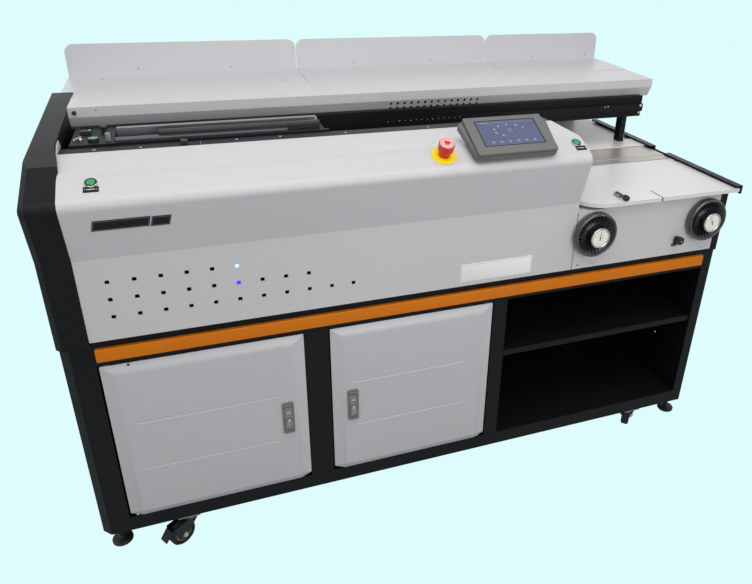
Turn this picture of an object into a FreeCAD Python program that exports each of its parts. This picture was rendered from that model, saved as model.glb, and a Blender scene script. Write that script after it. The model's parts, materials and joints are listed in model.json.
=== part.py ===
import FreeCAD, Part
import math
import os
from types import SimpleNamespace

import Sketcher

# Perfect binding machine: a floor-standing cabinet on castors that carries a sliding book clamp
# over a milling cutter, a glue tank and a cover nipping station.
#
# Frame: +X runs along the machine to its right end, +Y to its back, +Z up. The origin is on the
# floor, under the middle of the overall box.
# Every size below is counted from the left end (X), from the front face of the base frame (Y)
# and from the underside of the base frame (Z); shift() carries it into the frame above.

doc = FreeCAD.newDocument("perfect_binder")
sheet = doc.addObject("Spreadsheet::Sheet", "Sizes")
d = SimpleNamespace()


class Size:
    """A number together with the sheet formula that gives it, so that both stay in step."""

    def __init__(self, value, formula):
        self.value = float(value)
        self.formula = formula

    def __add__(self, other):
        other = size(other)
        return Size(self.value + other.value, f"({self.formula} + {other.formula})")

    def __sub__(self, other):
        other = size(other)
        return Size(self.value - other.value, f"({self.formula} - {other.formula})")

    def __mul__(self, other):
        other = size(other)
        return Size(self.value * other.value, f"({self.formula} * {other.formula})")

    def __truediv__(self, other):
        other = size(other)
        return Size(self.value / other.value, f"({self.formula} / {other.formula})")

    def __neg__(self):
        return size(0) - self

    def __radd__(self, other):
        return size(other) + self

    def __rsub__(self, other):
        return size(other) - self


def size(number):
    return number if isinstance(number, Size) else Size(number, repr(float(number)))


def define(**cells):
    """Enter each size in the sheet under its own name and keep it as d.NAME."""
    for name, value in cells.items():
        row = len(vars(d)) + 1
        sheet.set(f"A{row}", name)
        sheet.set(f"B{row}", str(value))
        sheet.setAlias(f"B{row}", name)
        setattr(d, name, Size(value, f"Sizes.{name}"))


# Whole machine
define(
    overall_width=1960, overall_depth=928, wheel_overhang=60, castor_height=100,
    frame_depth=868, deck_top=618, deck_bottom=552, sheet_wall=3, cover_wall=2.5,
    running_gap=0.05, free_gap=0.5, lap=1,
)
# Base frame
define(
    left_column=75, right_column=57, column_chamfer=22, tray_top=48, tray_lip=28,
    bearer_half=40, bearer_web=4, post_depth=60,
    left_post_from=582, left_post_to=648, left_partition=613.5,
    right_post_from=1145, right_post_to=1190,
    plinth_top=630, plinth_front=8, plinth_plate=4,
    shelf_top=366, shelf_fold=20, shelf_front=5, shelf_back=800,
    strip_from=80, strip_to=1890, strip_bottom=562, strip_top=604, strip_depth=12, strip_wall=2,
    skin_hole=5, skin_hole_pitch=56, skin_hole_height=164, skin_hole_first=38.5, skin_hole_count=4,
    cable_hole_depth=151, cable_hole_height=208, lamp_hole_front=41, lamp_hole_back=89,
    lamp_hole_height=123, drain_hole_depth=114, drain_hole_height=63, stud_gap=0.3,
    back_vent_low=720, back_vent_height=60, back_vent_left=300, back_vent_right=1300,
    back_vent_count=12, back_vent_pitch=20,
    skin_slot_from=62, skin_slot_to=95, skin_slot_half=3,
)
# Doors
define(
    door_bottom=50, door_top=550, door_depth=15, door_wall=2, door_rim=0.5,
    left_door_from=80.5, left_door_to=579.5, right_door_from=651.5, right_door_to=1139.5,
    door_bevel=31, door_bevel_top=22, crease_upper=370, crease_lower=218, crease_inset=65,
    crease_inset_right=84.5, crease_height=2.5, crease_half=5,
    hinge_inset=15, hinge_depth=6, hinge_pin=3, hinge_block=30, hinge_block_width=15,
    lug_height=4,
    lock_width=31, lock_bottom=242, lock_top=346, lock_proud=6, lock_inset=41,
    lock_corner=5, lever_width=20, lever_bottom=258, lever_top=332, lever_pivot=329,
    lever_pin=1.5, lever_back=1.6, lever_root=12, lever_swell=20, lever_lift=3, lever_tip=5,
    tray_floor=1, tray_foot=6, lock_cheek=2,
)
# Feet and castors, counted from the castor's swivel axis
define(
    foot_inset=37.5, right_foot_inset=28.5, foot_setback=50, foot_radius=28, foot_drop=77,
    foot_disc=12, foot_bevel=3, foot_neck=6, foot_stud=6, foot_stud_top=40, foot_nut=10,
    foot_nut_height=9,
    castor_inset=225, castor_setback=30, castor_plate=4, castor_plate_half=30,
    castor_trail=32, castor_wheel=37.5, castor_tread=12.5, castor_hub=13.3, castor_hub_radius=12,
    castor_tread_edge=4, castor_tread_band=8, castor_tread_lip=3, castor_dish=9,
    castor_hub_bevel=2, castor_race=6, castor_race_top=7, castor_gap=0.3, castor_fork_back=20,
    castor_fork_lip=3, castor_leg_foot=9, castor_leg_heel=6, castor_plain_tail=12,
    castor_axle_head=2, castor_neck=8,
    castor_axle=4, castor_leg=3, castor_leg_inner=14, castor_head=26, castor_head_drop=20,
    castor_front_turn=212.7, castor_right_turn=45, castor_rear_turn=0,
    pedal_pivot_x=60, pedal_pivot_drop=31, pedal_pin=2.5, pedal_length=30, pedal_edge=6,
    pedal_root=4, pedal_bend=8, pedal_tip_drop=20, pedal_tip=24,
)
# Covers of the upper body
define(
    cover_bottom=630, cover_face=16, cover_bend_height=845, cover_nose=56,
    cover_nose_height=992, cover_brow=22, cover_brow_height=1031, cover_back=190,
    cover_back_height=1033, cover_right=1384, nose_round=24, brow_round=70, cover_flange=26,
    vent=10, vent_left=137.3, vent_pitch=58, vent_row_top=784.2, vent_row_gap=46.1,
    side_cover=54, side_nose_width=74, side_proud=2, side_taper_from=60, side_corner=14,
    side_rise_depth=67, side_rise_height=1043, side_top_depth=638, side_top_height=1085,
    side_ledge_depth=640, side_ledge=1047, back_plane=865,
    wheel_panel_top=818, wheel_panel_depth=40, end_cover_top=820, end_cover_front=8,
)
# Controls
define(
    start_left=143, start_right=1356, start_depth=-1, bore_reach=12,
    collar_radius=13, collar_height=5, shank_radius=11, shank_gap=1.5, shank_length=25,
    cap_radius=9,
    cap_proud=7, cap_root=9, cap_dome=1.5, cap_travel=4, stop_travel=8, stop_head_bevel=5,
    stop_along=964, stop_depth=-5, stop_disc=33, stop_disc_height=2,
    stop_collar=14, stop_collar_height=12, stop_head=21, stop_head_from=18, stop_head_top=44,
    panel_along=1154, panel_depth=6.5, panel_height=1063.6, panel_bottom=75,
    panel_top=65, panel_half=115, panel_waist=130, panel_waist_up=48, panel_foot_half=117,
    panel_head_half=112, panel_lip=7, panel_groove=2, panel_back=30, panel_corner=6,
    panel_belly=8, panel_edge=3, screen_width=177, screen_height=98, screen_recess=1,
    bracket_half=60, bracket_front=44, bracket_back=120, bracket_depth=18, bracket_wall=4,
    wheel_left=1443, wheel_right=1848, wheel_height=745, wheel_radius=70, wheel_rim=7,
    wheel_edge=2, wheel_shoulder=5, wheel_back_cone=9, wheel_dish=8, wheel_face=42,
    wheel_back=18, wheel_hub=31, wheel_shaft=8, wheel_shaft_end=60, wheel_web=4,
    knob_along=1757, knob_height=685, knob_radius=13, knob_shaft=4, knob_root=30, knob_gap=2,
    knob_neck=9, knob_neck_end=10, knob_grip_from=13, knob_grip_to=24, knob_face=27,
    knob_lobe=6, knob_lobes=5, knob_edge=3, inlet_left=160, inlet_width=50, inlet_bottom=660,
    inlet_height=40, inlet_plate=3, inlet_rim=8,
)
# Feeding and nipping of the cover
define(
    table_left=1388, table_right=1950, table_front=36, table_back=279.5, table_top=840,
    table_edge=12, table_wall=3, table_corner=95, slot_along=1660, slot_end=27, slot_half=3,
    stand_front=60, stand_inset=40, stand_inset_right=70,
    nip_top=842, nip_plate=6, nip_bevel=2, nip_float=0.3, front_nip_back=315, front_nip_leg=10,
    rear_nip_front=318, rear_nip_back=432, rear_nip_inset=12,
    platen_top=826, platen_height=36, platen_front=294, platen_back=334, platen_from=1400,
    platen_to=1900, platen_post=20, platen_clear=10, platen_column_inset=60,
    bridge_top=845.5, bridge_back=515, bridge_wall=450,
    bed_front=348, rear_table_back=862,
    guide_from=1936, guide_web=1954, guide_bottom=842.5, guide_top=848.5, guide_rear_top=852,
    guide_web_bottom=822,
    guide_front_end=316, guide_rear_from=395, guide_rear_to=785, guide_rod=2.5,
    guide_rod_height=824, guide_rod_reach=160, guide_rod_front=40, guide_rod_rear=640,
    lay_along=1535, lay_height=848.5, lay_front=33, lay_back=24, lay_knob=8, lay_knob_length=14,
    lay_rod=3.5, lay_foot=9, lay_foot_front=4,
)
# Beam, shelf and back plates
define(
    beam_front=449, beam_bottom=952, beam_top=1025, beam_depth=25, beam_right=1908,
    beam_hole=2, beam_hole_from=951.4, beam_hole_pitch=18.94, beam_hole_height=989,
    beam_hole_count=14, post_gap=4,
    prop_from=1865.5, prop_to=1888.5, prop_front=495, prop_back=525,
    ledge_front=476, ledge_front_top=1077, ledge_back_top=1086, apron_bottom=1049,
    apron_slant_back=492, apron_slant_bottom=1014.5, ledge_tail=20,
    apron_hole=4.7, apron_hole_from=971, apron_hole_pitch=23.08, apron_row_upper=1038,
    apron_row_lower=1022, apron_hole_count=14,
    plate_top=1187, plate_foot=641, plate_wall=2, plate_corner=28, plate_joint=1,
    plate_first=20, plate_second=741, plate_third=1462,
)
# Book clamp and its guides
define(
    channel_front=192, channel_back=240, channel_bottom=985, channel_top=1031,
    rail_step=3, rail_edge=4, rail_front=430, rail_bottom=975, rail_top=1001,
    rail_from=80, rail_to=1900,
    carriage_left=76, carriage_right=722, carriage_front=246, carriage_back=429,
    carriage_wall=10, carriage_end=15, carriage_low=940, carriage_bar_top=1036,
    bracket_plate=14, bracket_lap=5, spacer_half=15, backplate_front=395,
    backplate_bottom=870, backplate_top=1020, bracket_right=177, jaw_pin=6, jaw_pin_height=960,
    jaw_pin_front=207, jaw_pin_first=230, jaw_pin_second=560, bearing_length=100,
    bearing_first=110, bearing_second=560, bearing_reach=447, bearing_grip=13,
    jaw_left=180, rear_jaw_right=702, rear_jaw_front=335, rear_jaw_back=352, rear_jaw_top=1050,
    jaw_bottom=862, front_jaw_right=610, front_jaw_front=258, front_jaw_back=280,
    front_jaw_top=1042, guard_left=283, guard_back=301, guard_bottom=1030, guard_top=1052,
    guard_round=6, jaw_round=3, grip_first=10, grip_width=2, grip_depth=1, grip_count=5,
    grip_pitch=12, edge_least=100,
)
# Milling, gluing and drive units inside the body
define(
    cutter_along=850, cutter_depth=325, cutter_radius=60, cutter_top=848, cutter_disc=10,
    cutter_shaft=8, cutter_shaft_end=790, cutter_teeth=12, tooth_width=7, tooth_depth=12,
    tooth_height=4, tooth_inset=2, cutter_collar=8,
    motor_bore_depth=27, motor_radius=62, motor_top=812, motor_flange=85, motor_flange_height=12,
    tank_left=1000, tank_right=1250, tank_front=250, tank_back=430, tank_bottom=780,
    tank_top=840, tank_wall=4, tank_leg=30,
    roller_first=1072, roller_second=1178, roller_height=817, roller_radius=30,
    roller_half=60, roller_shaft=8, roller_middle=340, roller_bevel=2,
    gearbox_left=110, gearbox_front=560, gearbox_side=110, gearbox_height=130,
    gearmotor_radius=50, gearmotor_length=190, gearmotor_clear=5, pulley_radius=30,
    pulley_height=26,
)

LEFT = -d.overall_width / 2
FRONT = d.wheel_overhang - d.overall_depth / 2
BASE = d.castor_height


# --- tools for building -------------------------------------------------------------------------
def bind(item, prop, amount):
    item.setExpression(prop, amount.formula)


def locate(item, along=0, deep=0, high=0, rotation=None):
    """Put an object at a machine position; its own axes may be turned about its origin."""
    item.Placement = FreeCAD.Placement(FreeCAD.Vector(), rotation or FreeCAD.Rotation())
    bind(item, "Placement.Base.x", LEFT + along)
    bind(item, "Placement.Base.y", FRONT + deep)
    bind(item, "Placement.Base.z", BASE + high)


def block(label, along, deep, high):
    """A plain bar or plate between two positions on each axis."""
    item = doc.addObject("Part::Box", label)
    for prop, (low, top) in zip(("Length", "Width", "Height"), (along, deep, high)):
        bind(item, prop, size(top) - low)
    locate(item, along[0], deep[0], high[0])
    return item


def rod(label, along, deep, high, radius, length, direction="Z"):
    """A round bar that runs from a point along +X, +Y or +Z."""
    item = doc.addObject("Part::Cylinder", label)
    turned = {
        "X": FreeCAD.Rotation(FreeCAD.Vector(0, 1, 0), 90),
        "Y": FreeCAD.Rotation(FreeCAD.Vector(1, 0, 0), -90),
        "Z": FreeCAD.Rotation(),
    }
    bind(item, "Radius", size(radius))
    bind(item, "Height", size(length))
    locate(item, along, deep, high, turned[direction])
    return item


def fuse(label, *items):
    item = doc.addObject("Part::MultiFuse", label)
    item.Shapes = list(items)
    item.Refine = True
    return item


def cut(label, base, *tools):
    item = doc.addObject("Part::Cut", label)
    item.Base = base
    item.Tool = tools[0] if len(tools) == 1 else fuse(label + "_tools", *tools)
    item.Refine = True
    return item


def common(label, *items):
    item = doc.addObject("Part::MultiCommon", label)
    item.Shapes = list(items)
    item.Refine = True
    return item


def group(label, *items):
    """Several loose solids of one kind that share a node."""
    item = doc.addObject("Part::Compound", label)
    item.Links = list(items)
    return item


def new_body(label, along=0, deep=0, high=0, rotation=None):
    body = doc.addObject("PartDesign::Body", label)
    locate(body, along, deep, high, rotation)
    return body


def new_sketch(body, plane, name, level=0):
    """A sketch on one of the body's own planes, lifted along +X, +Y or +Z by level."""
    sketch = body.newObject("Sketcher::SketchObject", name)
    origin = [item for item in body.Origin.OriginFeatures if item.Role == plane]
    sketch.AttachmentSupport = (origin[0], "")
    sketch.MapMode = "FlatFace"
    lift = -size(level) if plane == "XZ_Plane" else size(level)
    bind(sketch, "AttachmentOffset.Base.z", lift)
    return sketch


def pin_point(sketch, geo, end, spot):
    """Hold one point of a sketch by its distances from both sketch axes."""
    for kind, axis, amount in (("DistanceX", -2, spot[0]), ("DistanceY", -1, spot[1])):
        amount = size(amount)
        if abs(amount.value) < 1e-9:
            sketch.addConstraint(Sketcher.Constraint("PointOnObject", geo, end, axis))
        elif amount.value > 0:
            number = sketch.addConstraint(Sketcher.Constraint(kind, -1, 1, geo, end, amount.value))
            bind(sketch, f"Constraints[{number}]", amount)
        else:
            number = sketch.addConstraint(Sketcher.Constraint(kind, geo, end, -1, 1, -amount.value))
            bind(sketch, f"Constraints[{number}]", -amount)


def draw_outline(sketch, corners):
    """A closed outline of straight sides through the given corners."""
    points = [FreeCAD.Vector(size(u).value, size(v).value, 0) for u, v in corners]
    first = sketch.GeometryCount
    count = len(points)
    for number in range(count):
        sketch.addGeometry(Part.LineSegment(points[number], points[(number + 1) % count]), False)
    for number in range(count):
        following = first + (number + 1) % count
        sketch.addConstraint(Sketcher.Constraint("Coincident", first + number, 2, following, 1))
    for number, corner in enumerate(corners):
        pin_point(sketch, first + number, 1, corner)


def draw_circle(sketch, centre, radius):
    middle = FreeCAD.Vector(size(centre[0]).value, size(centre[1]).value, 0)
    geo = sketch.addGeometry(Part.Circle(middle, FreeCAD.Vector(0, 0, 1), size(radius).value), False)
    number = sketch.addConstraint(Sketcher.Constraint("Radius", geo, size(radius).value))
    bind(sketch, f"Constraints[{number}]", size(radius))
    pin_point(sketch, geo, 3, centre)


def pad(body, plane, outlines, start, end, name="pad", circles=()):
    """Extrude closed outlines between two levels on the axis that the plane faces."""
    sketch = new_sketch(body, plane, body.Name + "_" + name + "_sketch", start)
    for corners in outlines:
        draw_outline(sketch, corners)
    for centre, radius in circles:
        draw_circle(sketch, centre, radius)
    feature = body.newObject("PartDesign::Pad", body.Name + "_" + name)
    feature.Profile = sketch
    bind(feature, "Length", size(end) - start)
    feature.Reversed = plane == "XZ_Plane"
    doc.recompute()
    return feature


def pocket(body, plane, start, end, outlines=(), circles=(), name="pocket"):
    """Cut outlines and circles between two levels, and make sure that something went away."""
    before = body.Shape.Volume
    sketch = new_sketch(body, plane, body.Name + "_" + name + "_sketch", start)
    for corners in outlines:
        draw_outline(sketch, corners)
    for centre, radius in circles:
        draw_circle(sketch, centre, radius)
    feature = body.newObject("PartDesign::Pocket", body.Name + "_" + name)
    feature.Profile = sketch
    bind(feature, "Length", size(end) - start)
    feature.Reversed = plane != "XZ_Plane"
    doc.recompute()
    assert body.Shape.Volume < before - 0.1, f"{name} of {body.Label} cuts nothing"
    return feature


def repeat(body, feature, axis_role, count, pitch, name="row"):
    """Repeat a feature along one axis of its body."""
    pattern = body.newObject("PartDesign::LinearPattern", body.Name + "_" + name)
    pattern.Originals = [feature]
    axis = [item for item in body.Origin.OriginFeatures if item.Role == axis_role][0]
    pattern.Direction = (axis, [""])
    pattern.Occurrences = int(size(count).value)
    bind(pattern, "Length", size(pitch) * (size(count) - 1))
    body.Tip = pattern
    doc.recompute()
    return pattern


def ring_of(body, feature, axis_role, count, name):
    """Repeat a feature round one axis of its body."""
    pattern = body.newObject("PartDesign::PolarPattern", body.Name + "_" + name)
    pattern.Originals = [feature]
    axis = [item for item in body.Origin.OriginFeatures if item.Role == axis_role][0]
    pattern.Axis = (axis, [""])
    pattern.Angle = 360
    pattern.Occurrences = int(size(count).value)
    body.Tip = pattern
    doc.recompute()
    return pattern


def edges_where(shape, test):
    """Names of the edges whose middle point passes a test."""
    names = []
    for number, edge in enumerate(shape.Edges, 1):
        middle = edge.valueAt((edge.FirstParameter + edge.LastParameter) / 2)
        if test(middle, edge):
            names.append(f"Edge{number}")
    return names


def round_edges(body, radius, test, name="round", kind="PartDesign::Fillet"):
    """Round or chamfer the edges of the last feature that pass a test, in the body's own frame."""
    base = body.Tip
    names = edges_where(base.Shape, test)
    assert names, f"{name} of {body.Label} finds no edge"
    feature = body.newObject(kind, body.Name + "_" + name)
    feature.Base = (base, names)
    bind(feature, "Radius" if kind.endswith("Fillet") else "Size", size(radius))
    doc.recompute()
    return feature


def hollow(body, wall, test, name="shell"):
    """Turn the solid into a shell that is open at the faces that pass a test."""
    base = body.Tip
    names = [f"Face{number}" for number, face in enumerate(base.Shape.Faces, 1)
             if test(face.CenterOfMass, face)]
    assert names, f"{name} of {body.Label} finds no face"
    before = body.Shape.Volume
    feature = body.newObject("PartDesign::Thickness", body.Name + "_" + name)
    feature.Base = (base, names)
    bind(feature, "Value", size(wall))
    feature.Reversed = True
    feature.Join = 1
    doc.recompute()
    assert body.Shape.Volume < before, f"{name} of {body.Label} grew"
    return feature


def near(amount, target, slack=0.01):
    return abs(amount - size(target).value) < slack


def turned(body, plane, corners, axis, name="turned"):
    """Turn a closed half outline about an axis of its sketch, V_Axis or H_Axis."""
    sketch = new_sketch(body, plane, body.Name + "_" + name + "_sketch")
    draw_outline(sketch, corners)
    feature = body.newObject("PartDesign::Revolution", body.Name + "_" + name)
    feature.Profile = sketch
    feature.ReferenceAxis = (sketch, [axis])
    feature.Angle = 360
    doc.recompute()
    return feature


def rectangle(low_u, high_u, low_v, high_v):
    return [(low_u, low_v), (high_u, low_v), (high_u, high_v), (low_u, high_v)]


def inset(corners, walls):
    """An outline moved inwards, each side by its own wall; side N runs from corner N onwards."""
    spots = [(size(u), size(v)) for u, v in corners]
    count = len(spots)
    area = sum(
        spots[n][0].value * spots[(n + 1) % count][1].value
        - spots[(n + 1) % count][0].value * spots[n][1].value for n in range(count))
    turn = 1 if area > 0 else -1
    normals = []
    for n in range(count):
        along = spots[(n + 1) % count][0].value - spots[n][0].value
        up = spots[(n + 1) % count][1].value - spots[n][1].value
        length = math.hypot(along, up)
        normals.append((-turn * up / length, turn * along / length))
    moved = []
    for n in range(count):
        before, after = normals[n - 1], normals[n]
        cross = before[0] * after[1] - before[1] * after[0]
        wall_before, wall_after = size(walls[n - 1]), size(walls[n])
        moved.append((
            spots[n][0] + wall_before * (after[1] / cross) - wall_after * (before[1] / cross),
            spots[n][1] - wall_before * (after[0] / cross) + wall_after * (before[0] / cross)))
    return moved


NODES = []


def node(item):
    """Count an object as one of the machine's separate pieces."""
    NODES.append(item)
    return item


right_column_from = d.overall_width - d.right_column
right_foot_along = d.overall_width - d.right_foot_inset
rear_foot_setback = d.frame_depth - d.foot_setback


# --- base frame ---------------------------------------------------------------------------------
def side_frame(label, near_side, far_side, chamfered_side, foot_along):
    """A folded upright as deep as the machine, closed below, with one chamfered front corner."""
    body = new_body(label)
    pad(body, "XY_Plane", [rectangle(near_side, far_side, 0, d.frame_depth)], 0, d.deck_top)
    round_edges(
        body, d.column_chamfer,
        lambda spot, edge: near(spot.x, chamfered_side) and near(spot.y, 0), "corner",
        "PartDesign::Chamfer")
    hollow(body, d.sheet_wall, lambda spot, face: near(spot.z, d.deck_top))
    studs = [((foot_along, setback), d.foot_stud + d.stud_gap)
             for setback in (d.foot_setback, rear_foot_setback)]
    pocket(body, "XY_Plane", 0, d.sheet_wall, circles=studs, name="stud_holes")
    return node(body)


side_frame("left_side_frame", 0, d.left_column, 0, d.foot_inset)
right_frame = side_frame(
    "right_side_frame", right_column_from, d.overall_width, d.overall_width, right_foot_along)
# Rows of holes for cable ties and shelf studs go through both skins of the right upright.
shelf_stud_row = [
    ((d.skin_hole_first + d.skin_hole_pitch * number, d.skin_hole_height), d.skin_hole)
    for number in range(int(d.skin_hole_count.value))]
loose_holes = [
    ((d.cable_hole_depth, d.cable_hole_height), d.skin_hole),
    ((d.lamp_hole_front, d.lamp_hole_height), d.skin_hole),
    ((d.lamp_hole_back, d.lamp_hole_height), d.skin_hole),
    ((d.drain_hole_depth, d.drain_hole_height), d.skin_hole)]
tie_slot = rectangle(
    d.skin_hole_first - d.skin_slot_half, d.skin_hole_first + d.skin_slot_half,
    d.skin_slot_from, d.skin_slot_to)
pocket(right_frame, "YZ_Plane", right_column_from, d.overall_width,
       outlines=[tie_slot], circles=shelf_stud_row + loose_holes, name="skin_holes")


def folded_down(low, high, front, back, wall):
    """Section of a tray turned upside down: a top with a skirt at the front and at the back."""
    return [
        (front, low), (front, high), (back, high), (back, low),
        (back - wall, low), (back - wall, high - wall), (front + wall, high - wall),
        (front + wall, low)]


def bottom_tray():
    """Folded tray between the uprights, with two cross bearers that carry the castors."""
    body = new_body("bottom_tray")
    wall = d.sheet_wall
    back = d.frame_depth
    section = [
        (0, 0), (0, d.tray_top), (back, d.tray_top), (back, 0), (back - d.tray_lip, 0),
        (back - d.tray_lip, wall), (back - wall, wall), (back - wall, d.tray_top - wall),
        (wall, d.tray_top - wall), (wall, wall), (d.tray_lip, wall), (d.tray_lip, 0)]
    pad(body, "YZ_Plane", [section], d.left_column, right_column_from)
    web = d.bearer_web
    for name, middle in (("left_bearer", d.castor_inset),
                         ("right_bearer", d.overall_width - d.castor_inset)):
        low = middle - d.bearer_half
        high = middle + d.bearer_half
        top = d.tray_top - wall
        section = [(low, top), (low, 0), (high, 0), (high, top), (high - web, top),
                   (high - web, web), (low + web, web), (low + web, top)]
        pad(body, "XZ_Plane", [section], wall, back - wall, name)
    pins = [((along, d.hinge_depth), d.hinge_pin + d.running_gap)
            for along in (d.left_door_from + d.hinge_inset, d.right_door_to - d.hinge_inset)]
    pocket(body, "XY_Plane", d.tray_top - wall, d.tray_top, circles=pins, name="hinge_holes")
    return node(body)


def centre_posts():
    """Two channel posts beside the doors, each with the sheet that divides the cabinet."""
    wall = d.sheet_wall
    posts = []
    for name, low, high, sheet_from in (
            ("left_post", d.left_post_from, d.left_post_to, d.left_partition),
            ("right_post", d.right_post_from, d.right_post_to, d.right_post_to - wall)):
        body = new_body(name)
        section = [(low, 0), (high, 0), (high, d.post_depth), (high - wall, d.post_depth),
                   (high - wall, wall), (low + wall, wall), (low + wall, d.post_depth),
                   (low, d.post_depth)]
        pad(body, "XY_Plane", [section], d.tray_top, d.deck_bottom)
        divider = rectangle(sheet_from, sheet_from + wall, wall / 2, d.back_plane)
        pad(body, "XY_Plane", [divider], d.tray_top, d.deck_bottom, "divider")
        posts.append(body)
    return node(group("centre_posts", *posts))


def top_deck():
    """Deck of the base, with the recessed plinth that the covers stand on."""
    wall = d.sheet_wall
    deck = new_body("deck_fold")
    section = folded_down(d.deck_bottom, d.deck_top, 0, d.frame_depth, wall)
    pad(deck, "YZ_Plane", [section], d.left_column, right_column_from)
    plinth_left = d.side_nose_width + d.free_gap
    plinth_along = (plinth_left, right_column_from)
    plinth_deep = (d.plinth_front, d.frame_depth - d.plinth_front)
    plinth = block("plinth_block", plinth_along, plinth_deep, (d.deck_top, d.plinth_top))
    inside = block(
        "plinth_inside", (plinth_left + wall, right_column_from - wall),
        (d.plinth_front + wall, d.frame_depth - d.plinth_front - wall),
        (d.deck_top, d.plinth_top - d.plinth_plate))
    pieces = [deck, cut("plinth", plinth, inside)]
    for side, along in (("left", d.left_door_from + d.hinge_inset),
                        ("right", d.right_door_to - d.hinge_inset)):
        half = d.hinge_pin * 2
        lug = block(side + "_lug_block", (along - half, along + half), (0, d.hinge_depth + half),
                    (d.deck_bottom, d.deck_bottom + d.lug_height))
        bore = rod(side + "_lug_bore", along, d.hinge_depth, d.deck_bottom,
                   d.hinge_pin + d.running_gap, d.lug_height)
        pieces.append(cut(side + "_lug", lug, bore))
    return node(fuse("top_deck", *pieces))


def back_panels():
    """Lower and upper back sheets; the upper one has rows of ventilation slots."""
    wall = d.sheet_wall
    lower = block("lower_back_sheet", (d.left_column, right_column_from),
                  (d.back_plane, d.frame_depth), (d.tray_top, d.deck_bottom))
    upper = new_body("upper_back_sheet")
    sheet_outline = rectangle(d.side_cover, right_column_from, d.plinth_top, d.side_ledge)
    pad(upper, "XZ_Plane", [sheet_outline], d.back_plane - wall, d.back_plane)
    vent_low = d.back_vent_low
    for name, along in (("left_vents", d.back_vent_left), ("right_vents", d.back_vent_right)):
        slot = rectangle(along, along + d.vent / 2, vent_low, vent_low + d.back_vent_height)
        first = pocket(upper, "XZ_Plane", d.back_plane - wall, d.back_plane,
                       outlines=[slot], name=name)
        repeat(upper, first, "X_Axis", d.back_vent_count, d.back_vent_pitch, name + "_row")
    return node(group("back_panels", lower, upper))


def bay_shelf():
    body = new_body("bay_shelf")
    section = folded_down(d.shelf_top - d.shelf_fold, d.shelf_top, d.shelf_front, d.shelf_back,
                          d.sheet_wall)
    pad(body, "YZ_Plane", [section], d.right_post_to, right_column_from)
    return node(body)


def accent_strip():
    """Folded trim strip on the front of the deck, open at its back."""
    body = new_body("accent_strip")
    outline = rectangle(-d.strip_depth, 0, d.strip_bottom, d.strip_top)
    pad(body, "YZ_Plane", [outline], d.strip_from, d.strip_to)
    round_edges(body, d.strip_wall, lambda spot, edge: near(spot.y, -d.strip_depth))
    wall = d.strip_wall
    inside = rectangle(d.strip_from + wall, d.strip_to - wall,
                       d.strip_bottom + wall, d.strip_top - wall)
    pocket(body, "XZ_Plane", wall - d.strip_depth, 0, outlines=[inside], name="inside")
    return node(body)


bottom_tray()
centre_posts()
top_deck()
back_panels()
bay_shelf()
accent_strip()


# --- doors --------------------------------------------------------------------------------------
def door(label, low, high, hinge_along):
    """Pan-shaped door: bevelled on all sides, with two raised creases and two hinge pins."""
    body = new_body(label)
    outer = new_sketch(body, "XZ_Plane", label + "_rim", -d.door_rim)
    draw_outline(outer, rectangle(low, high, d.door_bottom, d.door_top))
    inner = new_sketch(body, "XZ_Plane", label + "_face", -d.door_depth)
    draw_outline(inner, rectangle(
        low + d.door_bevel, high - d.door_bevel,
        d.door_bottom + d.door_bevel_top, d.door_top - d.door_bevel_top))
    loft = body.newObject("PartDesign::AdditiveLoft", label + "_pan")
    loft.Profile = outer
    loft.Sections = [inner]
    doc.recompute()
    hollow(body, d.door_wall, lambda spot, face: near(spot.y, -d.door_rim))
    for name, middle in (("upper_crease", d.crease_upper), ("lower_crease", d.crease_lower)):
        ridge = [(-d.door_depth, middle - d.crease_half), (-d.door_depth, middle + d.crease_half),
                 (-d.door_depth - d.crease_height, middle)]
        pad(body, "YZ_Plane", [ridge], low + d.crease_inset,
            high - d.crease_inset_right, name)
    reach = d.hinge_depth + d.hinge_pin + d.lap
    half = d.hinge_block_width / 2
    pieces = [body]
    for name, bottom, pin_from in (
            ("lower", d.door_bottom + d.lap, d.tray_top - d.sheet_wall + d.free_gap),
            ("upper", d.door_top - d.lap - d.hinge_block, d.door_top - d.hinge_block)):
        pieces.append(block(f"{label}_{name}_hinge", (hinge_along - half, hinge_along + half),
                            (-d.door_rim - d.lap, reach), (bottom, bottom + d.hinge_block)))
        length = d.hinge_block + d.lug_height + d.lap
        pieces.append(rod(f"{label}_{name}_pin", hinge_along, d.hinge_depth, pin_from,
                          d.hinge_pin, length))
    return node(fuse(label + "_door", *pieces))


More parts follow.
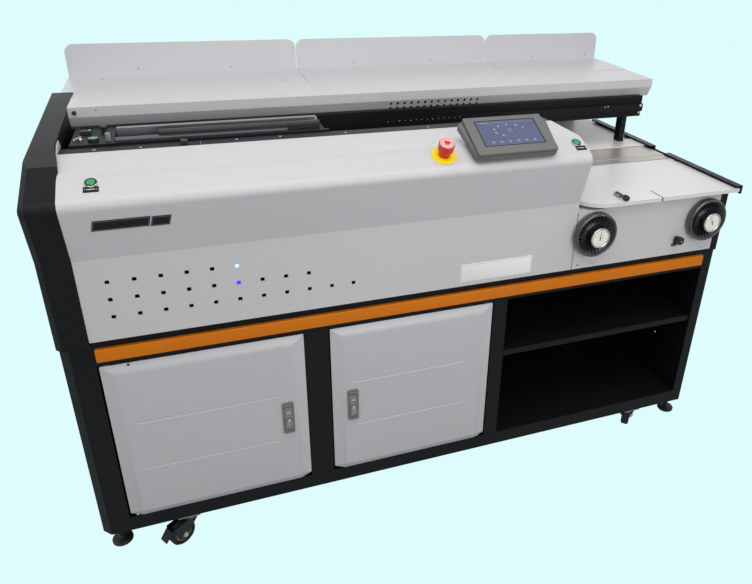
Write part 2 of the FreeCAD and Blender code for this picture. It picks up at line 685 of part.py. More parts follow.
def door_lock(side, low):
    """Flush lock on the door face: a frame with a sunk tray, and the lever that lies in it."""
    high = low + d.lock_width
    middle = (low + high) / 2
    face = -d.door_depth
    body = new_body(f"door_lock_{side}")
    pad(body, "XZ_Plane", [rectangle(low, high, d.lock_bottom, d.lock_top)],
        face - d.lock_proud, face)
    round_edges(body, d.lock_corner, lambda spot, edge: near(spot.y, face - d.lock_proud / 2))
    half = d.lever_width / 2 + d.free_gap
    tray = rectangle(middle - half, middle + half,
                     d.lever_bottom - d.tray_foot, d.lever_top + d.lock_cheek)
    pocket(body, "XZ_Plane", face - d.lock_proud, face - d.tray_floor, outlines=[tray],
           name="tray")
    pin_deep = face - d.lock_proud / 2
    pin_bore = [((pin_deep, d.lever_pivot), d.lever_pin + d.running_gap)]
    pocket(body, "YZ_Plane", low + d.lock_cheek, high - d.lock_cheek, circles=pin_bore,
           name="pin_bore")
    node(body)

    lever = new_body(f"lock_lever_{side}")
    half = d.lever_width / 2
    # The lever ends just above its pin, so that its top edge clears the tray when it is lifted.
    top = d.lever_pivot + d.lap
    back = face - d.lever_back
    front = face - d.lock_proud
    tip = face - d.lever_tip
    section = [
        (back, d.lever_bottom + d.lever_root), (back, top), (front, top),
        (front - d.lock_cheek, d.lever_bottom + d.lever_swell),
        (front - d.lever_lift, d.lever_bottom), (tip, d.lever_bottom)]
    pad(lever, "YZ_Plane", [section], middle - half, middle + half)
    cheek = d.lock_cheek + d.free_gap
    pad(lever, "YZ_Plane", [], low + cheek, high - cheek, "pin",
        circles=[((pin_deep, d.lever_pivot), d.lever_pin)])
    node(lever)


door("left", d.left_door_from, d.left_door_to, d.left_door_from + d.hinge_inset)
door("right", d.right_door_from, d.right_door_to, d.right_door_to - d.hinge_inset)
door_lock("left", d.left_door_to - d.lock_inset - d.lock_width)
door_lock("right", d.right_door_from + d.lock_inset)


# --- feet and castors ---------------------------------------------------------------------------
def levelling_feet():
    """Four screwed feet, each a disc on a stud with its lock nut under the frame."""
    feet = []
    for side, along in (("left", d.foot_inset), ("right", right_foot_along)):
        for end, setback in (("front", d.foot_setback), ("rear", rear_foot_setback)):
            body = new_body(f"foot_{side}_{end}", along, setback)
            low = -d.foot_drop
            disc = low + d.foot_disc
            profile = [
                (0, low), (d.foot_radius - d.foot_bevel, low),
                (d.foot_radius, low + d.foot_bevel), (d.foot_radius, disc - d.foot_bevel),
                (d.foot_radius - d.foot_neck, disc), (d.foot_nut, disc + d.foot_bevel),
                (d.foot_stud, disc + d.foot_neck), (d.foot_stud, -d.foot_nut_height),
                (d.foot_nut, -d.foot_nut_height), (d.foot_nut, 0), (d.foot_stud, 0),
                (d.foot_stud, d.foot_stud_top), (0, d.foot_stud_top)]
            turned(body, "XZ_Plane", profile, "V_Axis")
            feet.append(body)
    return node(group("levelling_feet", *feet))


def swivel_turn(turn):
    return FreeCAD.Rotation(FreeCAD.Vector(0, 0, 1), size(turn).value)


def castor_fork(label, along, setback, turn, with_pedal):
    """Pressed fork under a ball race; the trailing axle is riveted between its two legs."""
    body = new_body(label, along, setback, 0, swivel_turn(turn))
    head_low = -d.castor_head_drop
    head_top = -d.castor_plate - d.castor_gap
    head = [(0, head_low), (d.castor_head, head_low), (d.castor_head, head_low + d.castor_race),
            (d.castor_head - d.castor_race_top, head_top), (0, head_top)]
    turned(body, "XZ_Plane", head, "V_Axis", "head")
    axle_drop = d.castor_wheel - d.castor_height
    tail = d.pedal_pivot_x + d.pedal_edge if with_pedal else d.castor_trail + d.castor_plain_tail
    lip = d.castor_fork_lip
    foot = d.castor_leg_foot
    heel = axle_drop - d.castor_leg_heel
    leg = [(-d.castor_fork_back, head_low), (-d.castor_fork_back, head_low + lip),
           (tail, head_low - lip), (tail, -d.pedal_pivot_drop - d.pedal_edge),
           (d.castor_trail + foot, heel), (d.castor_trail, axle_drop - foot),
           (d.castor_trail - foot, heel)]
    inner = d.castor_leg_inner
    for name, side in (("left_leg", inner), ("right_leg", -inner - d.castor_leg)):
        pad(body, "XZ_Plane", [leg], side, side + d.castor_leg, name)
    outer = inner + d.castor_leg + d.castor_axle_head
    pad(body, "XZ_Plane", [], -outer, outer, "axle",
        circles=[((d.castor_trail, axle_drop), d.castor_axle)])
    if with_pedal:
        bore = [((d.pedal_pivot_x, -d.pedal_pivot_drop), d.pedal_pin + d.running_gap)]
        pocket(body, "XZ_Plane", -outer, outer, circles=bore, name="pedal_bore")
    return body


def castor_wheel(label, along, setback, turn):
    """Wheel with a rounded tread, a sunk disc and a raised hub, turning on the axle."""
    axle_drop = d.castor_wheel - d.castor_height
    angle = math.radians(size(turn).value)
    body = new_body(
        label, along + d.castor_trail * math.cos(angle), setback + d.castor_trail * math.sin(angle),
        axle_drop, swivel_turn(turn))
    tread = d.castor_tread
    bore = d.castor_axle + d.running_gap
    edge = tread - d.castor_tread_edge
    half = [(bore, d.castor_hub), (d.castor_hub_radius, d.castor_hub),
            (d.castor_hub_radius + d.castor_hub_bevel, edge), (d.castor_wheel - d.castor_dish, edge),
            (d.castor_wheel - d.castor_tread_band, tread),
            (d.castor_wheel - d.castor_tread_lip, tread), (d.castor_wheel, edge)]
    profile = half + [(radius, -size(level)) for radius, level in reversed(half)]
    turned(body, "XY_Plane", profile, "V_Axis")
    return node(body)


def brake_pedal(label, along, setback, turn):
    """Stamped brake pedal hinged behind the wheel on the fork's tail."""
    body = new_body(label, along, setback, 0, swivel_turn(turn))
    pivot = (d.pedal_pivot_x, -d.pedal_pivot_drop)
    side = d.castor_leg_inner - d.free_gap
    outer = d.castor_leg_inner + d.castor_leg + d.lap
    pad(body, "XZ_Plane", [], -outer, outer, "pin", circles=[(pivot, d.pedal_pin)])
    level = -d.pedal_pivot_drop
    root = d.pedal_pivot_x - d.lap
    bend = d.pedal_pivot_x + d.pedal_bend
    tip = d.pedal_pivot_x + d.pedal_length
    plate = [(root, level + d.pedal_root), (bend, level + d.pedal_root + d.lap),
             (tip, level - d.pedal_tip_drop), (tip - d.lap, level - d.pedal_tip),
             (bend, level - d.pedal_root), (root, level - d.pedal_root + d.lap)]
    pad(body, "XZ_Plane", [plate], -side, side, "plate")
    return node(body)


def castor_plate(label, along, setback):
    half = d.castor_plate_half
    plate = block(label + "_sheet", (along - half, along + half), (setback - half, setback + half),
                  (-d.castor_plate, 0))
    return plate


castor_right = d.overall_width - d.castor_inset
castor_rear = d.frame_depth - d.castor_setback
front_castors = (("left", d.castor_inset, d.castor_front_turn),
                 ("right", castor_right, d.castor_right_turn))
for castor_side, castor_along, castor_turn in front_castors:
    node(castor_fork(
        f"castor_fork_{castor_side}", castor_along, d.castor_setback, castor_turn, True))
    castor_wheel(f"castor_wheel_front_{castor_side}", castor_along, d.castor_setback, castor_turn)
    brake_pedal(f"brake_pedal_{castor_side}", castor_along, d.castor_setback, castor_turn)
rear_forks = []
for castor_side, castor_along in (("left", d.castor_inset), ("right", castor_right)):
    fork = castor_fork(f"rear_fork_{castor_side}", castor_along, castor_rear,
                       d.castor_rear_turn, False)
    plate = castor_plate(f"rear_plate_{castor_side}", castor_along, castor_rear)
    neck = rod(f"rear_neck_{castor_side}", castor_along, castor_rear, -d.castor_plate - d.lap,
               d.castor_head - d.castor_neck, d.lap * 2)
    rear_forks.append(fuse(f"rear_castor_{castor_side}", fork, plate, neck))
    castor_wheel(f"castor_wheel_rear_{castor_side}", castor_along, castor_rear,
                 d.castor_rear_turn)
node(group("castor_forks_rear", *rear_forks))
node(group("castor_plates", *[
    castor_plate(f"front_plate_{name}", along, d.castor_setback)
    for name, along, turn in front_castors]))
levelling_feet()


# --- covers of the upper body -------------------------------------------------------------------
def round_corner(body, corner, radius, name):
    """Round the edge that runs along X through a corner of the section."""
    round_edges(body, radius, lambda spot, edge: near(spot.y, corner[0])
                and near(spot.z, corner[1]), name)


def cheek_body(label, section, along, bend_round, corner):
    """One skin of the side cover: its outline along X, with rounded nose and cut corner."""
    body = new_body(label)
    pad(body, "YZ_Plane", [section], along, d.side_nose_width)
    round_corner(body, section[2], bend_round, "nose")
    face = size(section[0][0])
    round_edges(
        body, corner,
        lambda spot, edge: near(spot.x, along) and spot.y < face.value + d.free_gap.value
        and d.deck_top.value + d.lap.value < spot.z < d.cover_nose_height.value,
        "front_corner", "PartDesign::Chamfer")
    return body


# The controls stand square to the cover's sloping top, between its nose and its brow.
cover_rise = (d.cover_brow_height - d.cover_nose_height) / (d.cover_brow + d.cover_nose)
cover_angle = math.atan(cover_rise.value)
cover_tilt = FreeCAD.Rotation(FreeCAD.Vector(1, 0, 0), math.degrees(cover_angle))


def on_cover(deep):
    """Height of the sloping top at a depth."""
    return d.cover_nose_height + (size(deep) + d.cover_nose) * cover_rise


def cover_bore(name, along, deep):
    """Round hole for a button, square to the sloping top."""
    back = d.bore_reach * math.sin(cover_angle)
    down = d.bore_reach * math.cos(cover_angle)
    bore = rod(name, along, deep + back, on_cover(deep) - down,
               d.shank_radius + d.shank_gap, d.bore_reach * 2)
    locate(bore, along, deep + back, on_cover(deep) - down, cover_tilt)
    return bore


def left_side_cover():
    """Tall end cover: its outline rises to the shelf, and it narrows behind the front cover."""
    wall = d.cover_wall
    front = -d.cover_face - d.side_proud
    section = [
        (front, d.deck_top), (front, d.cover_bend_height),
        (-d.cover_nose - d.side_proud, d.cover_nose_height),
        (d.side_rise_depth, d.side_rise_height), (d.side_top_depth, d.side_top_height),
        (d.side_ledge_depth, d.side_ledge), (d.back_plane, d.side_ledge),
        (d.back_plane, d.deck_top)]
    plan = [
        (0, -d.wheel_overhang), (d.side_nose_width, -d.wheel_overhang),
        (d.side_nose_width, d.side_taper_from), (d.side_cover, d.cover_back - d.lap),
        (d.side_cover, d.back_plane), (0, d.back_plane)]
    inner_section = inset(section, [wall] * 7 + [0])
    outer = cheek_body("side_skin", section, 0, d.nose_round, d.side_corner)
    inner = cheek_body("side_hollow", inner_section, wall, d.nose_round - wall,
                       d.side_corner - wall / 2)
    skins = []
    for name, body, outline in (("outer", outer, plan), ("inner", inner, inset(plan, [wall] * 6))):
        slab = new_body(f"side_plan_{name}")
        pad(slab, "XY_Plane", [outline], d.deck_top, d.plate_top)
        skins.append(common(f"side_{name}", body, slab))
    return node(cut("left_side_cover", *skins))


def front_cover():
    """Folded front cover: vented face, leaning brow and sloping top, open below and behind."""
    body = new_body("cover_fold")
    low = d.cover_bottom
    section = [
        (-d.cover_face, low), (-d.cover_face, d.cover_bend_height),
        (-d.cover_nose, d.cover_nose_height), (d.cover_brow, d.cover_brow_height),
        (d.cover_back, d.cover_back_height), (d.cover_back, low)]
    left = d.side_nose_width + d.free_gap
    pad(body, "YZ_Plane", [section], left, d.cover_right)
    wall = d.cover_wall
    inside = inset(section, [wall, wall, wall, wall, 0, 0])
    pocket(body, "YZ_Plane", left + wall, d.cover_right - wall, outlines=[inside], name="inside")
    round_corner(body, inside[2], d.nose_round - wall, "inner_nose")
    round_corner(body, inside[3], d.brow_round - wall, "inner_brow")
    round_corner(body, section[2], d.nose_round, "nose")
    round_corner(body, section[3], d.brow_round, "brow")
    fold = rectangle(d.cover_back - wall, d.cover_back,
                     d.cover_back_height - d.cover_flange, d.cover_back_height - d.lap)
    pad(body, "YZ_Plane", [fold], left, d.cover_right, "back_fold")
    for number, count in enumerate((6, 9, 11)):
        row = d.vent_row_top - d.vent_row_gap * number
        square = rectangle(d.vent_left - d.vent / 2, d.vent_left + d.vent / 2,
                           row - d.vent / 2, row + d.vent / 2)
        first = pocket(body, "XZ_Plane", -d.cover_face, wall - d.cover_face,
                       outlines=[square], name=f"vent_{number}")
        repeat(body, first, "X_Axis", count, d.vent_pitch, f"vent_row_{number}")
    bores = [cover_bore(f"cover_bore_{name}", along, deep) for name, along, deep in (
        ("left", d.start_left, d.start_depth), ("right", d.start_right, d.start_depth),
        ("stop", d.stop_along, d.stop_depth))]
    return node(cut("front_cover", body, *bores))


def hand_wheel_panel():
    """Front panel of the cover station, bored for both hand wheels and the lock knob."""
    body = new_body("hand_wheel_panel")
    outline = rectangle(-d.cover_face, d.wheel_panel_depth - d.cover_face,
                        d.cover_bottom, d.wheel_panel_top)
    pad(body, "YZ_Plane", [outline], d.cover_right + d.lap, right_column_from)
    hollow(body, d.cover_wall, lambda spot, face: near(spot.y, d.wheel_panel_depth - d.cover_face))
    bores = [((d.wheel_left, d.wheel_height), d.wheel_shaft + d.running_gap),
             ((d.wheel_right, d.wheel_height), d.wheel_shaft + d.running_gap),
             ((d.knob_along, d.knob_height), d.knob_shaft + d.running_gap)]
    pocket(body, "XZ_Plane", -d.cover_face, -d.cover_face + d.cover_wall, circles=bores,
           name="shaft_bores")
    return node(body)


def right_end_cover():
    body = new_body("right_end_cover")
    pad(body, "XY_Plane", [rectangle(right_column_from + d.free_gap, d.overall_width,
                                     -d.end_cover_front, d.back_plane)],
        d.deck_top, d.end_cover_top)
    round_edges(
        body, d.column_chamfer,
        lambda spot, edge: near(spot.x, d.overall_width) and near(spot.y, -d.end_cover_front),
        "corner", "PartDesign::Chamfer")
    hollow(body, d.cover_wall, lambda spot, face: near(spot.z, d.deck_top))
    return node(body)


left_side_cover()
front_cover()
hand_wheel_panel()
right_end_cover()


# --- cover station ------------------------------------------------------------------------------
def feed_table():
    """Folded table with one large round corner, a slot for the lay stop and its stand."""
    body = new_body("feed_table")
    outline = rectangle(d.table_left, d.table_right, -d.table_front, d.table_back)
    pad(body, "XY_Plane", [outline], d.table_top - d.table_edge, d.table_top)
    round_edges(body, d.table_corner, lambda spot, edge: near(spot.x, d.table_left)
                and near(spot.y, -d.table_front), "round_corner")
    hollow(body, d.table_wall, lambda spot, face: near(spot.z, d.table_top - d.table_edge))
    slot = rectangle(d.slot_along - d.slot_half, d.slot_along + d.slot_half,
                     -d.table_front, d.slot_end)
    pocket(body, "XY_Plane", d.table_top - d.table_edge, d.table_top, outlines=[slot],
           name="stop_slot")
    wall = d.table_wall
    low = d.table_left + d.stand_inset
    high = d.table_right - d.stand_inset_right
    back = d.table_back - wall
    stand = [(low, d.stand_front), (high, d.stand_front), (high, back), (high - wall, back),
             (high - wall, d.stand_front + wall), (low + wall, d.stand_front + wall),
             (low + wall, back), (low, back)]
    pad(body, "XY_Plane", [stand], d.plinth_top, d.table_top - wall, "stand")
    return node(body)


def nip_jaw_front():
    """Fixed front nip jaw: a ground strip on an upright web."""
    body = new_body("nip_jaw_front")
    low = d.table_back + d.lap
    strip_low = d.nip_top - d.nip_plate
    strip = rectangle(low, d.front_nip_back, strip_low, d.nip_top)
    pad(body, "YZ_Plane", [strip], d.table_left, d.table_right, "strip")
    leg = low + d.nip_bevel
    web = rectangle(leg, leg + d.front_nip_leg, d.plinth_top, strip_low)
    pad(body, "YZ_Plane", [web], d.table_left, right_column_from, "web")
    return node(body)


def nip_jaw_rear():
    """Sliding rear nip jaw: a flat plate with a bevelled pressing edge."""
    body = new_body("nip_jaw_rear")
    section = [
        (d.rear_nip_front, d.nip_top - d.nip_bevel),
        (d.rear_nip_front + d.nip_bevel, d.nip_top),
        (d.rear_nip_back, d.nip_top), (d.rear_nip_back, d.nip_top - d.nip_plate),
        (d.rear_nip_front, d.nip_top - d.nip_plate)]
    pad(body, "YZ_Plane", [section], d.table_left + d.rear_nip_inset,
        d.table_right - d.rear_nip_inset)
    return node(body)


def nip_platen():
    """Lifting platen that pushes the cover against the spine, on two round columns."""
    beam = block("platen_beam", (d.platen_from, d.platen_to), (d.platen_front, d.platen_back),
                 (d.platen_top - d.platen_height, d.platen_top))
    middle = (d.platen_front + d.platen_back) / 2
    foot = d.plinth_top + d.platen_clear
    length = d.platen_top - d.platen_height - foot
    inset_along = d.platen_column_inset
    columns = [rod(f"platen_column_{number}", along, middle, foot, d.platen_post / 2, length)
               for number, along in enumerate((d.platen_from + inset_along,
                                               d.platen_to - inset_along))]
    return node(fuse("nip_platen", beam, *columns))


def rear_table():
    """Rear cover table folded from sheet: bridge over the sliding jaw, top and two legs."""
    body = new_body("rear_table")
    wall = d.table_wall
    bridge_low = d.bridge_top - wall
    skirt = d.end_cover_top + d.lap
    section = [
        (d.bridge_wall, skirt), (d.bridge_wall, bridge_low),
        (d.rear_nip_back, bridge_low), (d.rear_nip_back, d.bridge_top),
        (d.bridge_back, d.bridge_top), (d.bridge_back, d.table_top),
        (d.rear_table_back, d.table_top), (d.rear_table_back, skirt),
        (d.rear_table_back - wall, skirt), (d.rear_table_back - wall, d.table_top - wall),
        (d.bridge_back - wall, d.table_top - wall), (d.bridge_back - wall, bridge_low),
        (d.bridge_wall + wall, bridge_low), (d.bridge_wall + wall, skirt)]
    pad(body, "YZ_Plane", [section], d.table_left, d.table_right, "top")
    legs = [rectangle(low, low + wall, d.plinth_top, skirt)
            for low in (d.bridge_wall, d.rear_table_back - wall)]
    pad(body, "YZ_Plane", legs, d.table_left, right_column_from, "legs")
    bed_top = d.nip_top - d.nip_plate - d.nip_float
    bed = [
        (d.bed_front, d.plinth_top), (d.bed_front, bed_top), (d.bridge_wall + d.lap, bed_top),
        (d.bridge_wall + d.lap, bed_top - wall), (d.bed_front + wall, bed_top - wall),
        (d.bed_front + wall, d.plinth_top)]
    pad(body, "YZ_Plane", [bed], d.platen_from, d.platen_to, "jaw_bed")
    return node(body)


def side_guide():
    """Side guide of the cover: two rails on one web that slides on two rods."""
    web = block("guide_web_bar", (d.guide_web, d.overall_width), (-d.table_front, d.guide_rear_to),
                (d.guide_web_bottom, d.guide_top))
    front = block("guide_front_rail", (d.guide_from, d.overall_width),
                  (-d.table_front, d.guide_front_end), (d.guide_bottom, d.guide_top))
    rear = block("guide_rear_rail", (d.guide_from, d.overall_width),
                 (d.guide_rear_from, d.guide_rear_to),
                 (d.bridge_top + d.free_gap, d.guide_rear_top))
    notch = block("guide_notch", (d.guide_web, d.overall_width),
                  (d.guide_front_end, d.guide_rear_from), (d.table_top, d.guide_top))
    rods = [rod(f"guide_rod_{number}", d.guide_web - d.guide_rod_reach, deep,
                d.guide_rod_height, d.guide_rod, d.guide_rod_reach + d.lap, "X")
            for number, deep in enumerate((d.guide_rod_front, d.guide_rod_rear))]
    return node(fuse("side_guide", cut("guide_web_cut", web, notch), front, rear, *rods))


def front_lay_stop():
    """Front lay stop: a rod in a small foot, with a thumb knob at the front."""
    length = d.lay_front + d.lay_back
    bar = rod("lay_bar", d.lay_along, -d.lay_front, d.lay_height, d.lay_rod, length, "Y")
    knob = rod("lay_knob_disc", d.lay_along, -d.lay_front, d.lay_height, d.lay_knob,
               d.lay_knob_length, "Y")
    foot = block("lay_foot_block", (d.lay_along - d.lay_foot, d.lay_along + d.lay_foot),
                 (-d.lay_foot_front, d.lay_back), (d.table_top + d.nip_float, d.lay_height))
    return node(fuse("front_lay_stop", bar, knob, foot))


feed_table()
nip_jaw_front()
nip_jaw_rear()
nip_platen()
rear_table()
side_guide()
front_lay_stop()


# --- beam, shelf and back plates ----------------------------------------------------------------
def rear_beam():
    """Channel beam that carries the clamp rail, with the post that holds it at the right."""
    wall = d.sheet_wall
    body = new_body("beam_channel")
    back = d.beam_front + d.beam_depth
    section = [
        (d.beam_front, d.beam_bottom), (d.beam_front, d.beam_top), (back, d.beam_top),
        (back, d.beam_top - wall), (d.beam_front + wall, d.beam_top - wall),
        (d.beam_front + wall, d.beam_bottom + wall), (back, d.beam_bottom + wall),
        (back, d.beam_bottom)]
    pad(body, "YZ_Plane", [section], d.side_cover, d.beam_right)
    hole = pocket(body, "XZ_Plane", d.beam_front, d.beam_front + wall,
                  circles=[((d.beam_hole_from, d.beam_hole_height), d.beam_hole)], name="hole")
    repeat(body, hole, "X_Axis", d.beam_hole_count, d.beam_hole_pitch, "holes")
    post = block("beam_post", (d.prop_from, d.prop_to), (d.prop_front, d.prop_back),
                 (d.bridge_top, d.ledge_front_top - d.post_gap))
    web = block("beam_gusset", (d.prop_from, d.prop_to), (back - wall, d.prop_front),
                (d.beam_bottom, d.apron_slant_bottom - d.post_gap))
    return node(fuse("rear_beam", body, post, web))


def ledge_height(deep):
    """Height of the sloping shelf top at a depth."""
    rise = (d.ledge_back_top - d.ledge_front_top) / (d.back_plane - d.ledge_front)
    return d.ledge_front_top + (size(deep) - d.ledge_front) * rise


def top_shelf():
    """Folded shelf over the back of the machine, with a perforated apron along its front."""
    wall = d.cover_wall
    body = new_body("top_shelf")
    section = [
        (d.apron_slant_back, d.apron_slant_bottom), (d.ledge_front, d.apron_bottom),
        (d.ledge_front, d.ledge_front_top), (d.back_plane, d.ledge_back_top),
        (d.back_plane, d.side_ledge), (d.back_plane - wall, d.side_ledge),
        (d.back_plane - wall, d.ledge_back_top - wall),
        (d.ledge_front + wall, d.ledge_front_top - wall),
        (d.ledge_front + wall, d.apron_bottom + d.free_gap),
        (d.apron_slant_back + wall, d.apron_slant_bottom + d.lap)]
    pad(body, "YZ_Plane", [section], d.side_cover, d.overall_width)
    end_outline = [(d.ledge_front, d.apron_bottom), (d.ledge_front, d.ledge_front_top),
                   (d.back_plane, d.ledge_back_top), (d.back_plane, d.side_ledge)]
    pad(body, "YZ_Plane", [end_outline], d.overall_width - wall, d.overall_width, "right_end")
    pad(body, "YZ_Plane", [end_outline], d.side_cover, d.side_cover + wall, "left_end")
    tail_front = d.side_ledge_depth
    tail = [
        (tail_front, d.side_ledge), (tail_front, ledge_height(tail_front)),
        (d.back_plane, d.ledge_back_top), (d.back_plane, d.side_ledge),
        (d.back_plane - wall, d.side_ledge), (d.back_plane - wall, d.ledge_back_top - wall),
        (tail_front + wall, ledge_height(tail_front) - wall), (tail_front + wall, d.side_ledge)]
    pad(body, "YZ_Plane", [tail], d.ledge_tail, d.side_cover + wall, "tail")
    holes = [((d.apron_hole_from, row), d.apron_hole)
             for row in (d.apron_row_upper, d.apron_row_lower)]
    first = pocket(body, "XZ_Plane", d.ledge_front, d.apron_slant_back + wall,
                   circles=holes, name="apron_holes")
    repeat(body, first, "X_Axis", d.apron_hole_count, d.apron_hole_pitch, "apron_rows")
    return node(body)


def back_plates():
    """Three folded plates in a row; each foot lies on the shelf and each face stands up."""
    joints = (d.plate_first, d.plate_second, d.plate_third, d.overall_width)
    plates = []
    wall = d.plate_wall
    for number in range(3):
        low = joints[number] + d.plate_joint
        high = joints[number + 1] - d.plate_joint
        body = new_body(f"back_plate_{number + 1}")
        section = [
            (d.plate_foot, ledge_height(d.plate_foot)),
            (d.plate_foot, ledge_height(d.plate_foot) + wall),
            (d.back_plane - wall, d.ledge_back_top + wall), (d.back_plane - wall, d.plate_top),
            (d.back_plane, d.plate_top), (d.back_plane, d.ledge_back_top)]
        pad(body, "YZ_Plane", [section], low, high)
        top = d.plate_top
        round_edges(body, d.plate_corner, lambda spot, edge: near(spot.z, top)
                    and near(spot.y, d.back_plane - wall / 2), "top_corners")
        plates.append(body)
    return node(group("back_plates", *plates))


rear_beam()
top_shelf()
back_plates()


# --- book clamp ---------------------------------------------------------------------------------
def carriage_rails():
    """Front partition with its folded channel, and the ground rail on the rear beam."""
    body = new_body("front_channel")
    wall = d.sheet_wall
    front = d.channel_front
    section = [
        (front, d.plinth_top), (front, d.channel_top), (d.channel_back, d.channel_top),
        (d.channel_back, d.channel_bottom), (d.channel_back - wall, d.channel_bottom),
        (d.channel_back - wall, d.channel_top - wall), (front + wall, d.channel_top - wall),
        (front + wall, d.plinth_top)]
    pad(body, "YZ_Plane", [section], d.side_cover, d.cover_right)
    rail = new_body("clamp_rail")
    middle = (d.rail_front + d.beam_front) / 2
    section = [
        (d.rail_front, d.rail_bottom), (d.rail_front, d.rail_top), (middle, d.rail_top),
        (middle + d.rail_step, d.rail_top - d.rail_edge),
        (d.beam_front, d.rail_top - d.rail_edge), (d.beam_front, d.rail_bottom + d.rail_edge),
        (middle + d.rail_step, d.rail_bottom + d.rail_edge),
        (middle, d.rail_bottom)]
    pad(rail, "YZ_Plane", [section], d.rail_from, d.rail_to)
    return node(group("carriage_rails", body, rail))


def clamp_carriage():
    """Frame of the clamp: back plate on two rail bearings, end brackets and a front bar."""
    wall = d.carriage_wall
    pieces = [
        block("carriage_back", (d.carriage_left, d.carriage_right),
              (d.backplate_front, d.carriage_back), (d.backplate_bottom, d.backplate_top)),
        block("carriage_left_wall", (d.carriage_left, d.carriage_left + wall),
              (d.carriage_front, d.carriage_back), (d.carriage_low, d.carriage_bar_top)),
        block("carriage_right_wall", (d.carriage_right - d.carriage_end, d.carriage_right),
              (d.carriage_front, d.carriage_back), (d.carriage_low, d.backplate_top)),
        block("carriage_bracket", (d.carriage_left, d.bracket_right),
              (d.carriage_front, d.backplate_front + d.bracket_lap),
              (d.carriage_bar_top - d.bracket_plate, d.carriage_bar_top)),
    ]
    for number, along in enumerate((d.jaw_pin_first, d.jaw_pin_second)):
        pieces.append(block(f"jaw_spacer_{number}", (along - d.spacer_half, along + d.spacer_half),
                            (d.rear_jaw_back, d.backplate_front + d.lap),
                            (d.carriage_low, d.backplate_top - wall)))
    bar = block("carriage_bar", (d.carriage_left, d.carriage_right),
                (d.carriage_front, d.carriage_front + wall), (d.carriage_low, d.carriage_bar_top))
    bores = [rod(f"jaw_pin_bore_{number}", along, d.carriage_front, d.jaw_pin_height,
                 d.jaw_pin + d.running_gap, wall, "Y")
             for number, along in enumerate((d.jaw_pin_first, d.jaw_pin_second))]
    pieces.append(cut("carriage_bar_bored", bar, *bores))
    for number, along in enumerate((d.bearing_first, d.bearing_second)):
        end = along + d.bearing_length
        gap = d.free_gap
        for name, low, high in (
                ("upper", d.rail_top + gap, d.rail_top + gap + d.bearing_grip),
                ("lower", d.rail_bottom - gap - d.bearing_grip, d.rail_bottom - gap)):
            pieces.append(block(f"bearing_{number}_{name}", (along, end),
                                (d.carriage_back - d.lap, d.bearing_reach), (low, high)))
    return node(fuse("clamp_carriage", *pieces))


def rear_jaw():
    """Fixed rear clamp jaw: an extruded bar with shallow grip grooves along its face."""
    body = new_body("rear_jaw")
    outline = rectangle(d.rear_jaw_front, d.rear_jaw_back, d.jaw_bottom, d.rear_jaw_top)
    pad(body, "YZ_Plane", [outline], d.jaw_left, d.rear_jaw_right)
    low = d.jaw_bottom + d.grip_first
    groove = rectangle(d.rear_jaw_front, d.rear_jaw_front + d.grip_depth, low,
                       low + d.grip_width)
    first = pocket(body, "YZ_Plane", d.jaw_left, d.rear_jaw_right, outlines=[groove],
                   name="grip_groove")
    repeat(body, first, "Z_Axis", d.grip_count, d.grip_pitch, "grip_grooves")
    return node(body)


def front_jaw():
    """Closing front jaw, guided by two pins that run in the carriage bar."""
    body = new_body("front_jaw")
    outline = rectangle(d.front_jaw_front, d.front_jaw_back, d.jaw_bottom, d.front_jaw_top)
    pad(body, "YZ_Plane", [outline], d.jaw_left, d.front_jaw_right)
    round_edges(body, d.jaw_round, lambda spot, edge: near(spot.z, d.front_jaw_top)
                and near(spot.y, d.front_jaw_front), "top_round")
    pins = [((along, d.jaw_pin_height), d.jaw_pin)
            for along in (d.jaw_pin_first, d.jaw_pin_second)]
    pad(body, "XZ_Plane", [], d.jaw_pin_front, d.front_jaw_front + d.lap, "pins", circles=pins)
    return node(body)


def jaw_guard_bar():
    """Rounded bar behind the front jaw that keeps the pages in line."""
    body = new_body("jaw_guard_bar")
    outline = rectangle(d.front_jaw_back, d.guard_back, d.guard_bottom, d.guard_top)
    pad(body, "YZ_Plane", [outline], d.guard_left, d.rear_jaw_right)
    round_edges(body, d.guard_round, lambda spot, edge: near(spot.z, d.guard_top)
                and edge.Length > d.edge_least.value, "top_round")
    return node(body)


carriage_rails()
clamp_carriage()
rear_jaw()
front_jaw()
jaw_guard_bar()


# --- milling, gluing and drive ------------------------------------------------------------------
def milling_cutter():
    """Face cutter: a disc on a shaft with a ring of upright teeth."""
    body = new_body("milling_cutter", d.cutter_along, d.cutter_depth)
    low = d.cutter_top - d.tooth_height - d.cutter_disc
    top = d.cutter_top - d.tooth_height
    profile = [
        (0, d.cutter_shaft_end), (d.cutter_shaft, d.cutter_shaft_end),
        (d.cutter_shaft, low - d.cutter_collar), (d.cutter_shaft * 2, low - d.cutter_collar),
        (d.cutter_shaft * 2, low), (d.cutter_radius, low), (d.cutter_radius, top),
        (d.cutter_shaft, top), (d.cutter_shaft, top - d.tooth_inset), (0, top - d.tooth_inset)]
    turned(body, "XZ_Plane", profile, "V_Axis")
    tip = d.cutter_radius - d.tooth_inset
    tooth = rectangle(tip - d.tooth_depth, tip, -d.tooth_width / 2, d.tooth_width / 2)
    first = pad(body, "XY_Plane", [tooth], top - d.lap, d.cutter_top, "tooth")
    ring_of(body, first, "Z_Axis", d.cutter_teeth, "teeth")
    return node(body)


